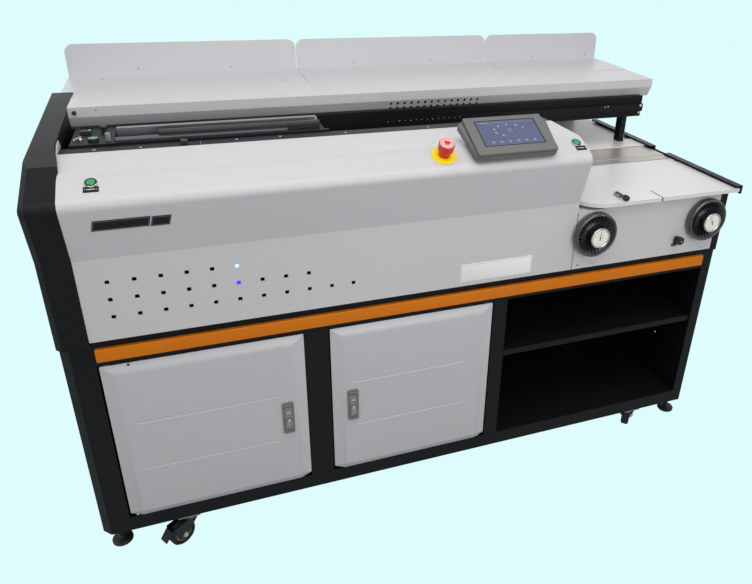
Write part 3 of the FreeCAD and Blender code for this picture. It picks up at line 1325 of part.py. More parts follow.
def milling_motor():
    """Upright motor of the cutter on a square flange, bored for the cutter's shaft."""
    low = d.plinth_top
    casing = rod("motor_casing", d.cutter_along, d.cutter_depth, low, d.motor_radius,
                 d.motor_top - low)
    half = d.motor_flange
    flange = block("motor_flange_plate", (d.cutter_along - half, d.cutter_along + half),
                   (d.cutter_depth - half, d.cutter_depth + half),
                   (low, low + d.motor_flange_height))
    bore = rod("motor_bore", d.cutter_along, d.cutter_depth, d.motor_top - d.motor_bore_depth,
               d.cutter_shaft + d.running_gap, d.motor_bore_depth)
    return node(cut("milling_motor", fuse("motor_block", casing, flange), bore))


def glue_tank():
    """Open glue tank on four legs; both rollers are borne in its end walls."""
    wall = d.tank_wall
    tub = block("tank_block", (d.tank_left, d.tank_right), (d.tank_front, d.tank_back),
                (d.tank_bottom, d.tank_top))
    inside = block("tank_inside", (d.tank_left + wall, d.tank_right - wall),
                   (d.tank_front + wall, d.tank_back - wall), (d.tank_bottom + wall, d.tank_top))
    legs = []
    for side, along in (("left", d.tank_left), ("right", d.tank_right - d.tank_leg)):
        for end, deep in (("front", d.tank_front), ("back", d.tank_back - d.tank_leg)):
            legs.append(block(f"tank_leg_{side}_{end}", (along, along + d.tank_leg),
                              (deep, deep + d.tank_leg), (d.plinth_top, d.tank_bottom)))
    bores = [rod(f"tank_bore_{number}", along, d.tank_front, d.roller_height,
                 d.roller_shaft + d.running_gap, d.tank_back - d.tank_front, "Y")
             for number, along in enumerate((d.roller_first, d.roller_second))]
    return node(cut("glue_tank", fuse("tank_shell", tub, *legs), inside, *bores))


def glue_roller(label, along):
    """Glue roller with bevelled ends on a through shaft."""
    body = new_body(label, along, d.roller_middle, d.roller_height)
    end = (d.tank_back - d.tank_front) / 2
    half = d.roller_half
    shaft = d.roller_shaft
    radius = d.roller_radius
    bevel = d.roller_bevel
    profile = [(0, -end), (shaft, -end), (shaft, -half), (radius - bevel, -half),
               (radius, bevel - half), (radius, half - bevel), (radius - bevel, half),
               (shaft, half), (shaft, end), (0, end)]
    turned(body, "XY_Plane", profile, "V_Axis")
    return node(body)


def drive_motor():
    """Gearmotor that pulls the clamp carriage, with its output pulley."""
    high = d.plinth_top + d.gearbox_height
    box_part = block("gearbox", (d.gearbox_left, d.gearbox_left + d.gearbox_side),
                     (d.gearbox_front, d.gearbox_front + d.gearbox_side), (d.plinth_top, high))
    middle = d.gearbox_front + d.gearbox_side / 2
    casing = rod("gearmotor_casing", d.gearbox_left + d.gearbox_side - d.lap, middle,
                 d.plinth_top + d.gearmotor_radius + d.gearmotor_clear, d.gearmotor_radius,
                 d.gearmotor_length, "X")
    pulley = rod("output_pulley", d.gearbox_left + d.gearbox_side / 2, middle, high - d.lap,
                 d.pulley_radius, d.pulley_height)
    return node(fuse("drive_motor", box_part, casing, pulley))


milling_cutter()
milling_motor()
glue_tank()
glue_roller("glue_roller_first", d.roller_first)
glue_roller("glue_roller_second", d.roller_second)
drive_motor()


# --- controls -----------------------------------------------------------------------------------
button_spots = (("left", d.start_left), ("right", d.start_right))


def start_collar(name, along):
    """Bezel and threaded shank of a push button, closed at its foot."""
    body = new_body(name, along, d.start_depth, on_cover(d.start_depth), cover_tilt)
    bore = d.cap_radius + d.running_gap
    shank = d.shank_radius
    profile = [
        (0, -d.shank_length), (shank, -d.shank_length), (shank, 0), (d.collar_radius, 0),
        (d.collar_radius, d.collar_height - d.cap_dome),
        (d.collar_radius - d.cap_dome, d.collar_height), (bore, d.collar_height),
        (bore, -d.cap_root - d.cap_travel), (0, -d.cap_root - d.cap_travel)]
    turned(body, "XZ_Plane", profile, "V_Axis")
    return body


def stop_collar():
    """Round plate, collar and shank of the emergency stop."""
    body = new_body("stop_collar", d.stop_along, d.stop_depth, on_cover(d.stop_depth), cover_tilt)
    bore = d.cap_radius + d.running_gap
    profile = [
        (0, -d.shank_length), (d.shank_radius, -d.shank_length), (d.shank_radius, 0),
        (d.stop_disc, 0), (d.stop_disc, d.stop_disc_height),
        (d.stop_collar, d.stop_disc_height), (d.stop_collar, d.stop_collar_height),
        (bore, d.stop_collar_height), (bore, -d.cap_root - d.stop_travel),
        (0, -d.cap_root - d.stop_travel)]
    turned(body, "XZ_Plane", profile, "V_Axis")
    return body


def start_cap(label, along):
    body = new_body(label, along, d.start_depth, on_cover(d.start_depth), cover_tilt)
    radius = d.cap_radius
    profile = [(0, -d.cap_root), (radius, -d.cap_root), (radius, d.cap_proud - d.cap_dome),
               (radius - d.cap_dome, d.cap_proud), (0, d.cap_proud)]
    turned(body, "XZ_Plane", profile, "V_Axis")
    return node(body)


def estop_head():
    """Mushroom head of the emergency stop on its stem."""
    body = new_body("estop_head", d.stop_along, d.stop_depth, on_cover(d.stop_depth), cover_tilt)
    low = d.stop_head_from
    top = d.stop_head_top
    head = d.stop_head
    bevel = d.stop_head_bevel
    profile = [(0, -d.cap_root), (d.cap_radius, -d.cap_root), (d.cap_radius, low),
               (head - bevel, low), (head, low + bevel), (head, top - bevel),
               (head - bevel, top), (0, top)]
    turned(body, "XZ_Plane", profile, "V_Axis")
    return node(body)


def control_panel():
    """Touch panel: a square bezel, a groove and a deep six-sided housing, with a sunk screen."""
    body = new_body("control_panel", d.panel_along, d.panel_depth, d.panel_height, cover_tilt)
    groove_low = -d.panel_lip - d.panel_groove
    frame = rectangle(-d.panel_half, d.panel_half, -d.panel_bottom, d.panel_top)
    pad(body, "XY_Plane", [frame], -d.panel_lip, 0, "bezel")
    round_edges(body, d.panel_corner, lambda spot, edge: near(spot.z, -d.panel_lip / 2), "corners")
    round_edges(body, d.panel_edge, lambda spot, edge: near(spot.z, 0), "bezel_round")
    step = d.panel_groove * 2
    neck = rectangle(step - d.panel_half, d.panel_half - step,
                     step - d.panel_bottom, d.panel_top - step)
    pad(body, "XY_Plane", [neck], groove_low, -d.panel_lip, "groove")
    housing = [
        (-d.panel_foot_half, -d.panel_bottom), (d.panel_foot_half, -d.panel_bottom),
        (d.panel_waist, d.panel_waist_up), (d.panel_head_half, d.panel_top),
        (-d.panel_head_half, d.panel_top), (-d.panel_waist, d.panel_waist_up)]
    pad(body, "XY_Plane", [housing], -d.panel_back, groove_low, "housing")
    round_edges(body, d.panel_corner * 2, lambda spot, edge: near(abs(spot.x), d.panel_foot_half)
                and near(spot.y, -d.panel_bottom) and spot.z < groove_low.value, "foot_corners")
    round_edges(body, d.panel_belly, lambda spot, edge: near(spot.z, -d.panel_back), "belly")
    screen = rectangle(-d.screen_width / 2, d.screen_width / 2,
                       -d.screen_height / 2, d.screen_height / 2)
    pocket(body, "XY_Plane", -d.screen_recess, 0, outlines=[screen], name="screen")
    return node(body)


def panel_bracket():
    """Folded bracket between the flat top of the front cover and the back of the touch panel."""
    body = new_body("panel_bracket")
    lift = (d.panel_back + d.free_gap / 2) / math.cos(cover_angle)
    top_rise = (d.cover_back_height - d.cover_brow_height) / (d.cover_back - d.cover_brow)

    def cover_top(deep):
        return d.cover_brow_height + (size(deep) - d.cover_brow) * top_rise

    def panel_under(deep):
        return d.panel_height + (size(deep) - d.panel_depth) * cover_rise - lift

    front = d.bracket_front
    back = d.bracket_front + d.bracket_depth
    foot = d.bracket_back
    section = [
        (front, cover_top(front)), (front, panel_under(front)), (back, panel_under(back)),
        (back, cover_top(back) + d.bracket_wall), (foot, cover_top(foot) + d.bracket_wall),
        (foot, cover_top(foot))]
    pad(body, "YZ_Plane", [section], d.panel_along - d.bracket_half,
        d.panel_along + d.bracket_half)
    return node(body)


def hand_wheel(label, along):
    """Dished hand wheel with a rounded rim and a proud boss for its dial, on a long shaft."""
    body = new_body(label, along, 0, d.wheel_height)
    face = -d.wheel_face
    back = -d.wheel_back
    radius = d.wheel_radius
    inner = radius - d.wheel_rim
    hub = d.wheel_hub
    dial = -d.wheel_overhang
    web = face + d.wheel_web
    edge = d.wheel_edge
    profile = [
        (0, d.wheel_shaft_end), (d.wheel_shaft, d.wheel_shaft_end), (d.wheel_shaft, back),
        (inner, back), (radius - edge, back - edge * 2), (radius, back - d.wheel_back_cone),
        (radius, face + d.wheel_shoulder), (radius - edge, face + d.lap),
        (radius - edge * 2, face), (inner, face + d.lap), (inner - edge, web),
        (hub + d.wheel_dish, web + edge), (hub, web + edge), (hub, dial + edge),
        (hub - edge, dial), (0, dial)]
    turned(body, "XY_Plane", profile, "V_Axis")
    return node(body)


def lock_knob():
    """Lobed clamping knob of the hand-wheel shaft."""
    body = new_body("lock_knob", d.knob_along, 0, d.knob_height)
    face = -d.cover_face
    front = face - d.knob_face
    profile = [
        (0, d.knob_root), (d.knob_shaft, d.knob_root), (d.knob_shaft, face - d.knob_gap),
        (d.knob_neck, face - d.knob_gap), (d.knob_neck, face - d.knob_neck_end),
        (d.knob_radius, face - d.knob_grip_from), (d.knob_radius, face - d.knob_grip_to),
        (d.knob_radius - d.knob_edge, front), (0, front)]
    turned(body, "XY_Plane", profile, "V_Axis")
    hollow_spot = (d.knob_radius + d.knob_edge, 0)
    lobe = pocket(body, "XZ_Plane", front, face - d.knob_grip_from,
                  circles=[(hollow_spot, d.knob_lobe)], name="lobe")
    ring_of(body, lobe, "Y_Axis", d.knob_lobes, "lobes")
    return node(body)


def power_inlet():
    """Mains inlet on the upper back sheet: a flange with a sunk mouth."""
    body = new_body("power_inlet")
    low = d.back_plane
    high = low + d.inlet_plate
    left = d.inlet_left
    bottom = d.inlet_bottom
    rim = d.inlet_rim
    right = left + d.inlet_width
    top = bottom + d.inlet_height
    pad(body, "XZ_Plane", [rectangle(left, right, bottom, top)], low, high, "flange")
    mouth = rectangle(left + rim, right - rim, bottom + rim, top - rim)
    pocket(body, "XZ_Plane", low + d.lap, high, outlines=[mouth], name="mouth")
    return node(body)


node(group("button_collars", start_collar("start_collar_left", d.start_left),
           start_collar("start_collar_right", d.start_right), stop_collar()))
for button_side, button_along in button_spots:
    start_cap(f"start_cap_{button_side}", button_along)
estop_head()
control_panel()
panel_bracket()
hand_wheel("hand_wheel_left", d.wheel_left)
hand_wheel("hand_wheel_right", d.wheel_right)
lock_knob()
power_inlet()


# --- finish -------------------------------------------------------------------------------------
def finish():
    """Check every object and shape, then write each piece to its own file."""
    doc.recompute()
    for item in doc.Objects:
        bad = [state for state in item.State if state in ("Invalid", "Error")]
        assert not bad, f"{item.Label} is {bad}"
    os.makedirs("parts", exist_ok=True)
    for item in NODES:
        shape = item.Shape
        assert not shape.isNull() and shape.isValid(), f"{item.Label} has no valid shape"
        assert shape.Solids, f"{item.Label} holds no solid"
        shape.exportStep(f"parts/{item.Label}.step")
    print(len(NODES), "pieces written")


finish()
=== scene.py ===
# %% [markdown]
# # Dressing a perfect binding machine
# The frame is a finished construction model of a book binding machine: a steel cabinet on castors
# with a sliding clamp, a cutter, a glue tank and a table where the cover is pressed on. This
# lesson gives it its finishes, and adds the small pieces that a workshop fits last: screws, dials,
# bezels, plates and lamps. It starts by loading the frame and keeping its box, because nothing
# that is added may make the machine larger.

# %% Load the frame
import json
import math

import bmesh
import bpy
from mathutils import Matrix, Vector

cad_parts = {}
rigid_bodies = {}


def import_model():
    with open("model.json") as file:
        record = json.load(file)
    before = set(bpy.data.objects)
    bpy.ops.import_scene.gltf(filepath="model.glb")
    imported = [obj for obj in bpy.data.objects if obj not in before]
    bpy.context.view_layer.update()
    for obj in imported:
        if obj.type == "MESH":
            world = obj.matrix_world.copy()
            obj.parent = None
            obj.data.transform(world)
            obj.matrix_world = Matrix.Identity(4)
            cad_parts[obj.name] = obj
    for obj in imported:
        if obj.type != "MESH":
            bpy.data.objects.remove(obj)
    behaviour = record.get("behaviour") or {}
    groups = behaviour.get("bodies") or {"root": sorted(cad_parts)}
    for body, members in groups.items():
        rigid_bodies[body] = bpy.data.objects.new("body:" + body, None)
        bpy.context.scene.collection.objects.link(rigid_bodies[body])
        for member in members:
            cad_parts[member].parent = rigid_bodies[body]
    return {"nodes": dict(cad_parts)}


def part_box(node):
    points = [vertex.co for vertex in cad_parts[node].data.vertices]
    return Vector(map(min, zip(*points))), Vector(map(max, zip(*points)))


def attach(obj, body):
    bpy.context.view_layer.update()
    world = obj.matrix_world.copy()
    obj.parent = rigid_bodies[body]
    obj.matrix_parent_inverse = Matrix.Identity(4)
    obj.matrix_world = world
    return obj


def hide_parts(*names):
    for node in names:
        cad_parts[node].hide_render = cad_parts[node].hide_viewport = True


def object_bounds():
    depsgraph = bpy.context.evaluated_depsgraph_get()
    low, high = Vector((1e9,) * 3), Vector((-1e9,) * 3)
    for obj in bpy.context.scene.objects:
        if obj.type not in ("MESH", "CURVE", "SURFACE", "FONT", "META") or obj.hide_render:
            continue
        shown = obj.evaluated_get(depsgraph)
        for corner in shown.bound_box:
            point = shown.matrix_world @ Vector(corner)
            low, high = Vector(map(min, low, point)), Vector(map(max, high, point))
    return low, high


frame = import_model()
cad_box = [list(corner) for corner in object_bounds()]
nodes = frame["nodes"]
print("machine box in metres:", cad_box)

# %% [markdown]
# ## Measures
# The machine is drawn in millimetres, counted from its left end, from the front of its base frame
# and from the underside of that frame. Blender works in metres from a point on the floor, so one
# function carries a place over. It reads the frame's own boxes and needs no copied numbers.

# %% Places in machine millimetres
MM = 0.001
frame_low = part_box("left_side_frame")[0]
machine_origin = Vector((cad_box[0][0], frame_low.y, frame_low.z))


def spot(along, deep, high):
    """A machine place in millimetres as a point in metres."""
    return machine_origin + Vector((along, deep, high)) * MM


print("machine origin:", machine_origin)

# %% [markdown]
# ## The camera
# The camera stands in front of the machine, a little to the left and above head height, and looks
# down on it. It is placed by its position, by three turns in degrees and by its focal length, and
# a small shift slides the frame over the film, as a view camera does.

# %% Camera
camera_place = (-0.62505, -1.92600, 1.63462)
camera_turns = (64.8749, -1.6593, -19.9996)
camera_data = bpy.data.cameras.new("studio_camera")
camera_data.sensor_width = 36
camera_data.lens = 31.70
camera_data.shift_x = -0.0704
camera_data.shift_y = -0.0652
camera_data.clip_start = 0.05
camera = bpy.data.objects.new("studio_camera", camera_data)
bpy.context.scene.collection.objects.link(camera)
camera.location = camera_place
camera.rotation_euler = [math.radians(turn) for turn in camera_turns]
bpy.context.scene.camera = camera
bpy.context.scene.view_settings.view_transform = "Standard"
print("focal length:", camera_data.lens, "mm")

# %% [markdown]
# ## Colours and nodes
# Paint charts give colours as sRGB hex values, while a shader wants linear light, so one function
# turns one into the other. A second function adds any shader node with its settings and its
# inputs; an input is either a value or the output of another node. No real surface has quite one
# colour, so a third function gives a darker and a lighter shade for a noise to mix.

# %% Colour and node helpers
def colour(hex_value):
    """sRGB hex to linear red, green, blue and alpha."""
    channels = [int(hex_value[place:place + 2], 16) / 255 for place in (1, 3, 5)]
    linear = [c / 12.92 if c <= 0.04045 else ((c + 0.055) / 1.055) ** 2.4 for c in channels]
    return (*linear, 1.0)


def shades(hex_value, spread, lift=0.0):
    """A slightly darker and a slightly lighter shade of one colour."""
    base = colour(hex_value)[:3]
    darker = [channel * (1 - spread) for channel in base] + [1.0]
    lighter = [min(channel * (1 + spread) + lift, 1.0) for channel in base] + [1.0]
    return darker, lighter


def add(tree, kind, inputs=None, **settings):
    """Add one shader node, set it up and feed its inputs."""
    item = tree.nodes.new("ShaderNode" + kind)
    for name, value in settings.items():
        setattr(item, name, value)
    for name, value in (inputs or {}).items():
        if isinstance(value, bpy.types.NodeSocket):
            tree.links.new(value, item.inputs[name])
        else:
            item.inputs[name].default_value = value
    return item


def new_finish(name, **shader_values):
    """A material with one Principled shader; values that hold all over go straight on it."""
    material = bpy.data.materials.new(name)
    material.use_nodes = True
    tree = material.node_tree
    shader = tree.nodes["Principled BSDF"]
    for socket, value in shader_values.items():
        shader.inputs[socket.replace("_", " ")].default_value = value
    place = add(tree, "TexCoord").outputs["Object"]
    return material, tree, shader, place


def feed(tree, shader, **sockets):
    """Link node outputs to the shader's sockets, by their names."""
    for socket, output in sockets.items():
        tree.links.new(output, shader.inputs[socket.replace("_", " ")])


def per_mm(size):
    """Scale of a texture whose pattern repeats every so many millimetres."""
    return 1 / (size * MM)


print("a mid grey in linear light:", [round(c, 3) for c in colour("#808080")])

# %% [markdown]
# ## Floor
# The floor is one very large plain sheet. Its pale colour is what the camera sees, also through
# glass, and faintly in reflections. To all other light it is a plain grey sheet, and so it never
# tints the machine from below.

# %% Floor
BACKDROP = "#E1FFFF"
SHEET = "#A4A8A8"
SEEN_SHARE = 0.97
MIRRORED_SHARE = 0.2
FLOOR_HALF = 60


def backdrop_share(tree):
    """How much of the backdrop's own colour a ray sees: nearly all for the camera and through
    glass, a little in reflections, and none where the backdrop only lights the machine."""
    path = add(tree, "LightPath").outputs
    seen = add(tree, "Math", {0: path["Is Camera Ray"], 1: path["Is Transmission Ray"]},
               operation="MAXIMUM")
    mirrored = add(tree, "Math", {0: path["Is Glossy Ray"], 1: MIRRORED_SHARE},
                   operation="MULTIPLY")
    share = add(tree, "Math", {0: seen.outputs[0], 1: SEEN_SHARE, 2: mirrored.outputs[0]},
                operation="MULTIPLY_ADD")
    return share.outputs[0]


def floor_material():
    """Backdrop colour where it is seen, grey paper where it only takes light."""
    material = bpy.data.materials.new("pale_studio_floor")
    material.use_nodes = True
    tree = material.node_tree
    tree.nodes.clear()
    share = backdrop_share(tree)
    matt = add(tree, "BsdfDiffuse", {"Color": colour(SHEET)})
    glow = add(tree, "Emission", {"Color": colour(BACKDROP), "Strength": 1.0})
    mixed = add(tree, "MixShader", {0: share, 1: matt.outputs[0], 2: glow.outputs[0]})
    add(tree, "OutputMaterial", {"Surface": mixed.outputs[0]})
    return material


def link(obj):
    """Put an object in the scene."""
    bpy.context.scene.collection.objects.link(obj)
    return obj


floor_mesh = bpy.data.meshes.new("studio_floor")
floor_mesh.from_pydata([(-FLOOR_HALF, -FLOOR_HALF, 0), (FLOOR_HALF, -FLOOR_HALF, 0),
                        (FLOOR_HALF, FLOOR_HALF, 0), (-FLOOR_HALF, FLOOR_HALF, 0)],
                       [], [(0, 1, 2, 3)])
floor_mesh.materials.append(floor_material())
link(bpy.data.objects.new("studio_floor", floor_mesh))
print("floor:", 2 * FLOOR_HALF, "metres wide")

# %% [markdown]
# ## Lamps and world
# A product is lit by large soft lamps, so that sheet metal shows its folds without hard spots.
# One hangs above, one stands in front, two small ones lighten the sides and a wide one stands
# behind, because the machine has to look right from there too. The world fills the shadows with
# a weak even light, and shows the backdrop's colour where the floor ends.

# %% Lamps and world
def softbox(name, place, aim, width, height, power):
    """A rectangular lamp at a place, turned towards the point it aims at."""
    data = bpy.data.lights.new(name, "AREA")
    data.shape = "RECTANGLE"
    data.size = width
    data.size_y = height
    data.energy = power
    lamp = link(bpy.data.objects.new(name, data))
    lamp.location = place
    lamp.rotation_euler = (Vector(aim) - Vector(place)).to_track_quat("-Z", "Y").to_euler()


machine_middle = (0, 0, 0.6)
softbox("ceiling_softbox", (-0.2, -1.1, 3.4), machine_middle, 3.2, 2.2, 49)
softbox("front_softbox", (0.5, -3.6, 1.9), machine_middle, 2.4, 1.8, 41)
softbox("right_softbox", (3.2, -1.6, 2.0), machine_middle, 1.6, 1.8, 6)
softbox("left_softbox", (-3.4, 0.1, 2.1), machine_middle, 1.6, 1.8, 13)
softbox("rear_softbox", (0.6, 3.6, 2.5), machine_middle, 7.5, 2.2, 46)

world = bpy.data.worlds.new("studio_world")
bpy.context.scene.world = world
world.use_nodes = True
sky = world.node_tree
sky.nodes.clear()
fill = add(sky, "Background", {"Color": colour("#FAFAFA"), "Strength": 0.40})
paper = add(sky, "Background", {"Color": colour(BACKDROP), "Strength": 1.0})
blend = add(sky, "MixShader", {0: backdrop_share(sky), 1: fill.outputs[0], 2: paper.outputs[0]})
add(sky, "OutputWorld", {"Surface": blend.outputs[0]})

# %% [markdown]
# ## Powder-coated sheet steel
# Nearly all of the machine is folded steel sheet with powder coat: a dry paint that is baked on.
# It gives the eye a satin skin with a fine orange peel, the shallow dimples that are left when the
# powder melts. The peel of a smooth coat is about 1.5 mm wide; the black coat is a textured one,
# with sharp grains near 1 mm. Both are too fine for a whole-machine picture, so they are drawn
# about twice as coarse. A broad cloudy noise gives the slight unevenness of a handled surface.

# %% Powder coats
CLOUD_MM = 420


def powder_coat(name, hex_value, roughness, peel_mm, depth_mm, clouds=0.04, grain=0.0,
                mirror=0.5):
    """Baked paint with orange peel; clouds vary its tone, grain paints glints on its grains."""
    material, tree, shader, place = new_finish(name, IOR=1.5, Specular_IOR_Level=mirror)
    cloudy = add(tree, "TexNoise", {"Vector": place, "Scale": per_mm(CLOUD_MM),
                                    "Detail": 3.0, "Roughness": 0.55})
    darker, lighter = shades(hex_value, clouds)
    tone = add(tree, "Mix", {0: cloudy.outputs["Fac"], 6: darker, 7: lighter},
               data_type="RGBA")
    peel = add(tree, "TexNoise", {"Vector": place, "Scale": per_mm(peel_mm), "Detail": 2.0,
                                  "Roughness": 0.6})
    colour_out = tone.outputs[2]
    # Painted glint: with grain set, the middle of each grain is mixed towards a lighter colour,
    # standing in for light caught on the grain tips.
    if grain:
        grains = add(tree, "TexVoronoi", {"Vector": place, "Scale": per_mm(peel_mm)})
        lift = add(tree, "MapRange", {"Value": grains.outputs["Distance"], "From Min": 0.0,
                                      "From Max": 0.5, "To Min": grain, "To Max": 0.0})
        bright = [min(channel + 0.2, 1.0) for channel in colour(hex_value)[:3]] + [1.0]
        colour_out = add(tree, "Mix", {0: lift.outputs[0], 6: colour_out, 7: bright},
                         data_type="RGBA").outputs[2]
    gloss = add(tree, "MapRange", {"Value": cloudy.outputs["Fac"], "From Min": 0.3,
                                   "From Max": 0.7, "To Min": roughness - 0.04,
                                   "To Max": roughness + 0.05})
    bump = add(tree, "Bump", {"Height": peel.outputs["Fac"], "Distance": depth_mm * MM,
                              "Strength": 0.5})
    feed(tree, shader, Base_Color=colour_out, Roughness=gloss.outputs[0],
         Normal=bump.outputs[0])
    return material


cover_coat = powder_coat("light_grey_satin_powder_coat", "#C8C7CA", 0.40, 3.0, 0.10)
door_coat = powder_coat("door_grey_satin_powder_coat", "#BEBEC1", 0.38, 3.0, 0.10)
table_coat = powder_coat("table_grey_satin_powder_coat", "#DADADA", 0.34, 3.0, 0.06)
# The black coat's grain is a painted glint on its grains.
black_coat = powder_coat("black_textured_powder_coat", "#0D0D11", 0.50, 2.2, 0.35, 0.10, 0.015,
                         mirror=0.22)
orange_coat = powder_coat("orange_gloss_powder_coat", "#D27400", 0.35, 3.0, 0.05, mirror=0.3)
print("powder coats:", cover_coat.name, black_coat.name, orange_coat.name)

# %% [markdown]
# ## Bare metals
# Ground tool steel, brushed stainless steel, anodised aluminium and zinc plate are all metals, so
# their colour is in the reflection. What tells them apart is how they were worked: grinding and
# brushing leave fine parallel lines, plating leaves a soft blotchy haze, chrome plate is nearly a
# mirror. The lines are a noise that is stretched along the way the tool ran.

# %% Metals
LINE_DEPTH_MM = 0.02


def brushed_metal(name, hex_value, roughness, line_mm, run, spread=0.10):
    """Metal with tool lines; run is the axis, 0 to 2, along which the tool moved."""
    material, tree, shader, place = new_finish(name, Metallic=1.0)
    stretch = [1.0, 1.0, 1.0]
    stretch[run] = 0.02
    along = add(tree, "Mapping", {"Vector": place, "Scale": stretch})
    lines = add(tree, "TexNoise", {"Vector": along.outputs[0], "Scale": per_mm(line_mm),
                                   "Detail": 3.0})
    dark, light = shades(hex_value, spread)
    tone = add(tree, "Mix", {0: lines.outputs["Fac"], 6: dark, 7: light}, data_type="RGBA")
    gloss = add(tree, "MapRange", {"Value": lines.outputs["Fac"], "From Min": 0.3,
                                   "From Max": 0.7, "To Min": roughness - 0.06,
                                   "To Max": roughness + 0.08})
    bump = add(tree, "Bump", {"Height": lines.outputs["Fac"], "Strength": 0.6,
                              "Distance": LINE_DEPTH_MM * MM})
    feed(tree, shader, Base_Color=tone.outputs[2], Roughness=gloss.outputs[0],
         Normal=bump.outputs[0])
    return material


def plated_metal(name, hex_value, roughness, blotch_mm, spread=0.12):
    """Metal with a plated or blackened skin, whose haze comes and goes in blotches."""
    material, tree, shader, place = new_finish(name, Metallic=1.0)
    blotch = add(tree, "TexNoise", {"Vector": place, "Scale": per_mm(blotch_mm),
                                    "Detail": 4.0, "Roughness": 0.6})
    dark, light = shades(hex_value, spread)
    tone = add(tree, "Mix", {0: blotch.outputs["Fac"], 6: dark, 7: light}, data_type="RGBA")
    gloss = add(tree, "MapRange", {"Value": blotch.outputs["Fac"], "From Min": 0.3,
                                   "From Max": 0.7, "To Min": max(roughness - 0.07, 0.02),
                                   "To Max": roughness + 0.07})
    feed(tree, shader, Base_Color=tone.outputs[2], Roughness=gloss.outputs[0])
    return material


nip_steel = brushed_metal("ground_tool_steel", "#C8C0B8", 0.46, 1.4, 0)
jaw_metal = brushed_metal("anodised_aluminium", "#8E8F92", 0.42, 1.2, 0)
dark_jaw_metal = brushed_metal("dark_anodised_aluminium", "#56575A", 0.44, 1.2, 0)
tank_metal = brushed_metal("cast_aluminium", "#9A9B9D", 0.50, 2.0, 1)
zinc_plate = plated_metal("zinc_plated_steel", "#A9A9A4", 0.34, 14)
dark_steel = plated_metal("blackened_steel", "#2C2C2F", 0.42, 30, 0.2)
lock_steel = brushed_metal("brushed_stainless_steel", "#A29B95", 0.42, 0.9, 2, spread=0.2)
chrome = plated_metal("chrome_plated_zinc", "#D4D5D8", 0.16, 20, 0.04)
brass = plated_metal("brass", "#B99A4E", 0.30, 10)
cutter_steel = plated_metal("hardened_steel", "#B4B6B8", 0.28, 12)
print("metals:", nip_steel.name, jaw_metal.name, zinc_plate.name)

# %% [markdown]
# ## Plastics and rubber
# The moulded pieces are ABS, nylon and phenolic resin. A spark-eroded mould leaves a fine even
# grain on them, and a polished mould leaves a gloss. The castors roll on black rubber, which is
# the roughest finish here and greys with dust. Their forks have a thin dipped paint, smoother and
# glossier than powder coat, so the same recipe serves them with hardly any grain.

# %% Plastics
HAZE_MM = 45


def moulded(name, hex_value, roughness, grain_mm, depth_mm, coat=0.0, ior=1.5, spread=0.06):
    """Plastic, rubber or lacquer with a fine grain and a faint haze of handling."""
    material, tree, shader, place = new_finish(name, IOR=ior, Coat_Weight=coat)
    grain = add(tree, "TexNoise", {"Vector": place, "Scale": per_mm(grain_mm), "Detail": 2.0})
    haze = add(tree, "TexNoise", {"Vector": place, "Scale": per_mm(HAZE_MM), "Detail": 3.0})
    dark, light = shades(hex_value, spread, 0.002)
    tone = add(tree, "Mix", {0: haze.outputs["Fac"], 6: dark, 7: light}, data_type="RGBA")
    gloss = add(tree, "MapRange", {"Value": haze.outputs["Fac"], "From Min": 0.3,
                                   "From Max": 0.7, "To Min": max(roughness - 0.03, 0.02),
                                   "To Max": roughness + 0.05})
    bump = add(tree, "Bump", {"Height": grain.outputs["Fac"], "Distance": depth_mm * MM,
                              "Strength": 0.4})
    feed(tree, shader, Base_Color=tone.outputs[2], Roughness=gloss.outputs[0],
         Normal=bump.outputs[0])
    return material


black_abs = moulded("black_abs", "#17171A", 0.48, 1.2, 0.05)
gloss_resin = moulded("black_phenolic_resin", "#121214", 0.16, 6.0, 0.01, coat=0.5, ior=1.6)
grey_abs = moulded("grey_abs_housing", "#6B6A69", 0.50, 1.2, 0.05)
green_cap = moulded("green_polycarbonate", "#18A35C", 0.20, 3.0, 0.01, coat=0.3, ior=1.58)
red_nylon = moulded("red_nylon", "#D6251F", 0.30, 3.0, 0.02, coat=0.2)
yellow_plate = moulded("yellow_enamelled_plate", "#FFE012", 0.34, 3.0, 0.02)
white_acrylic = moulded("white_acrylic", "#EEEBEA", 0.40, 4.0, 0.01, ior=1.49, spread=0.01)
# Painted shade: this black acrylic serves only as the shade round the screen's edge.
black_acrylic_edge_shade = moulded("black_acrylic_edge_shade", "#0D0B0A", 0.14, 5.0, 0.01, coat=0.4, ior=1.49)
castor_black = moulded("black_electrophoretic_paint", "#0C0C0E", 0.30, 3.0, 0.02)
rubber = moulded("black_rubber", "#1A1A1B", 0.70, 1.6, 0.10, spread=0.15)
motor_enamel = moulded("dark_machine_enamel", "#3C4247", 0.42, 2.5, 0.05)
print("plastics:", black_abs.name, gloss_resin.name, rubber.name)

# %% [markdown]
# ## Finishes on the frame's own pieces
# Every piece of the frame gets one of these finishes. A table of names reads best when it is
# turned round: each finish lists the pieces that wear it.

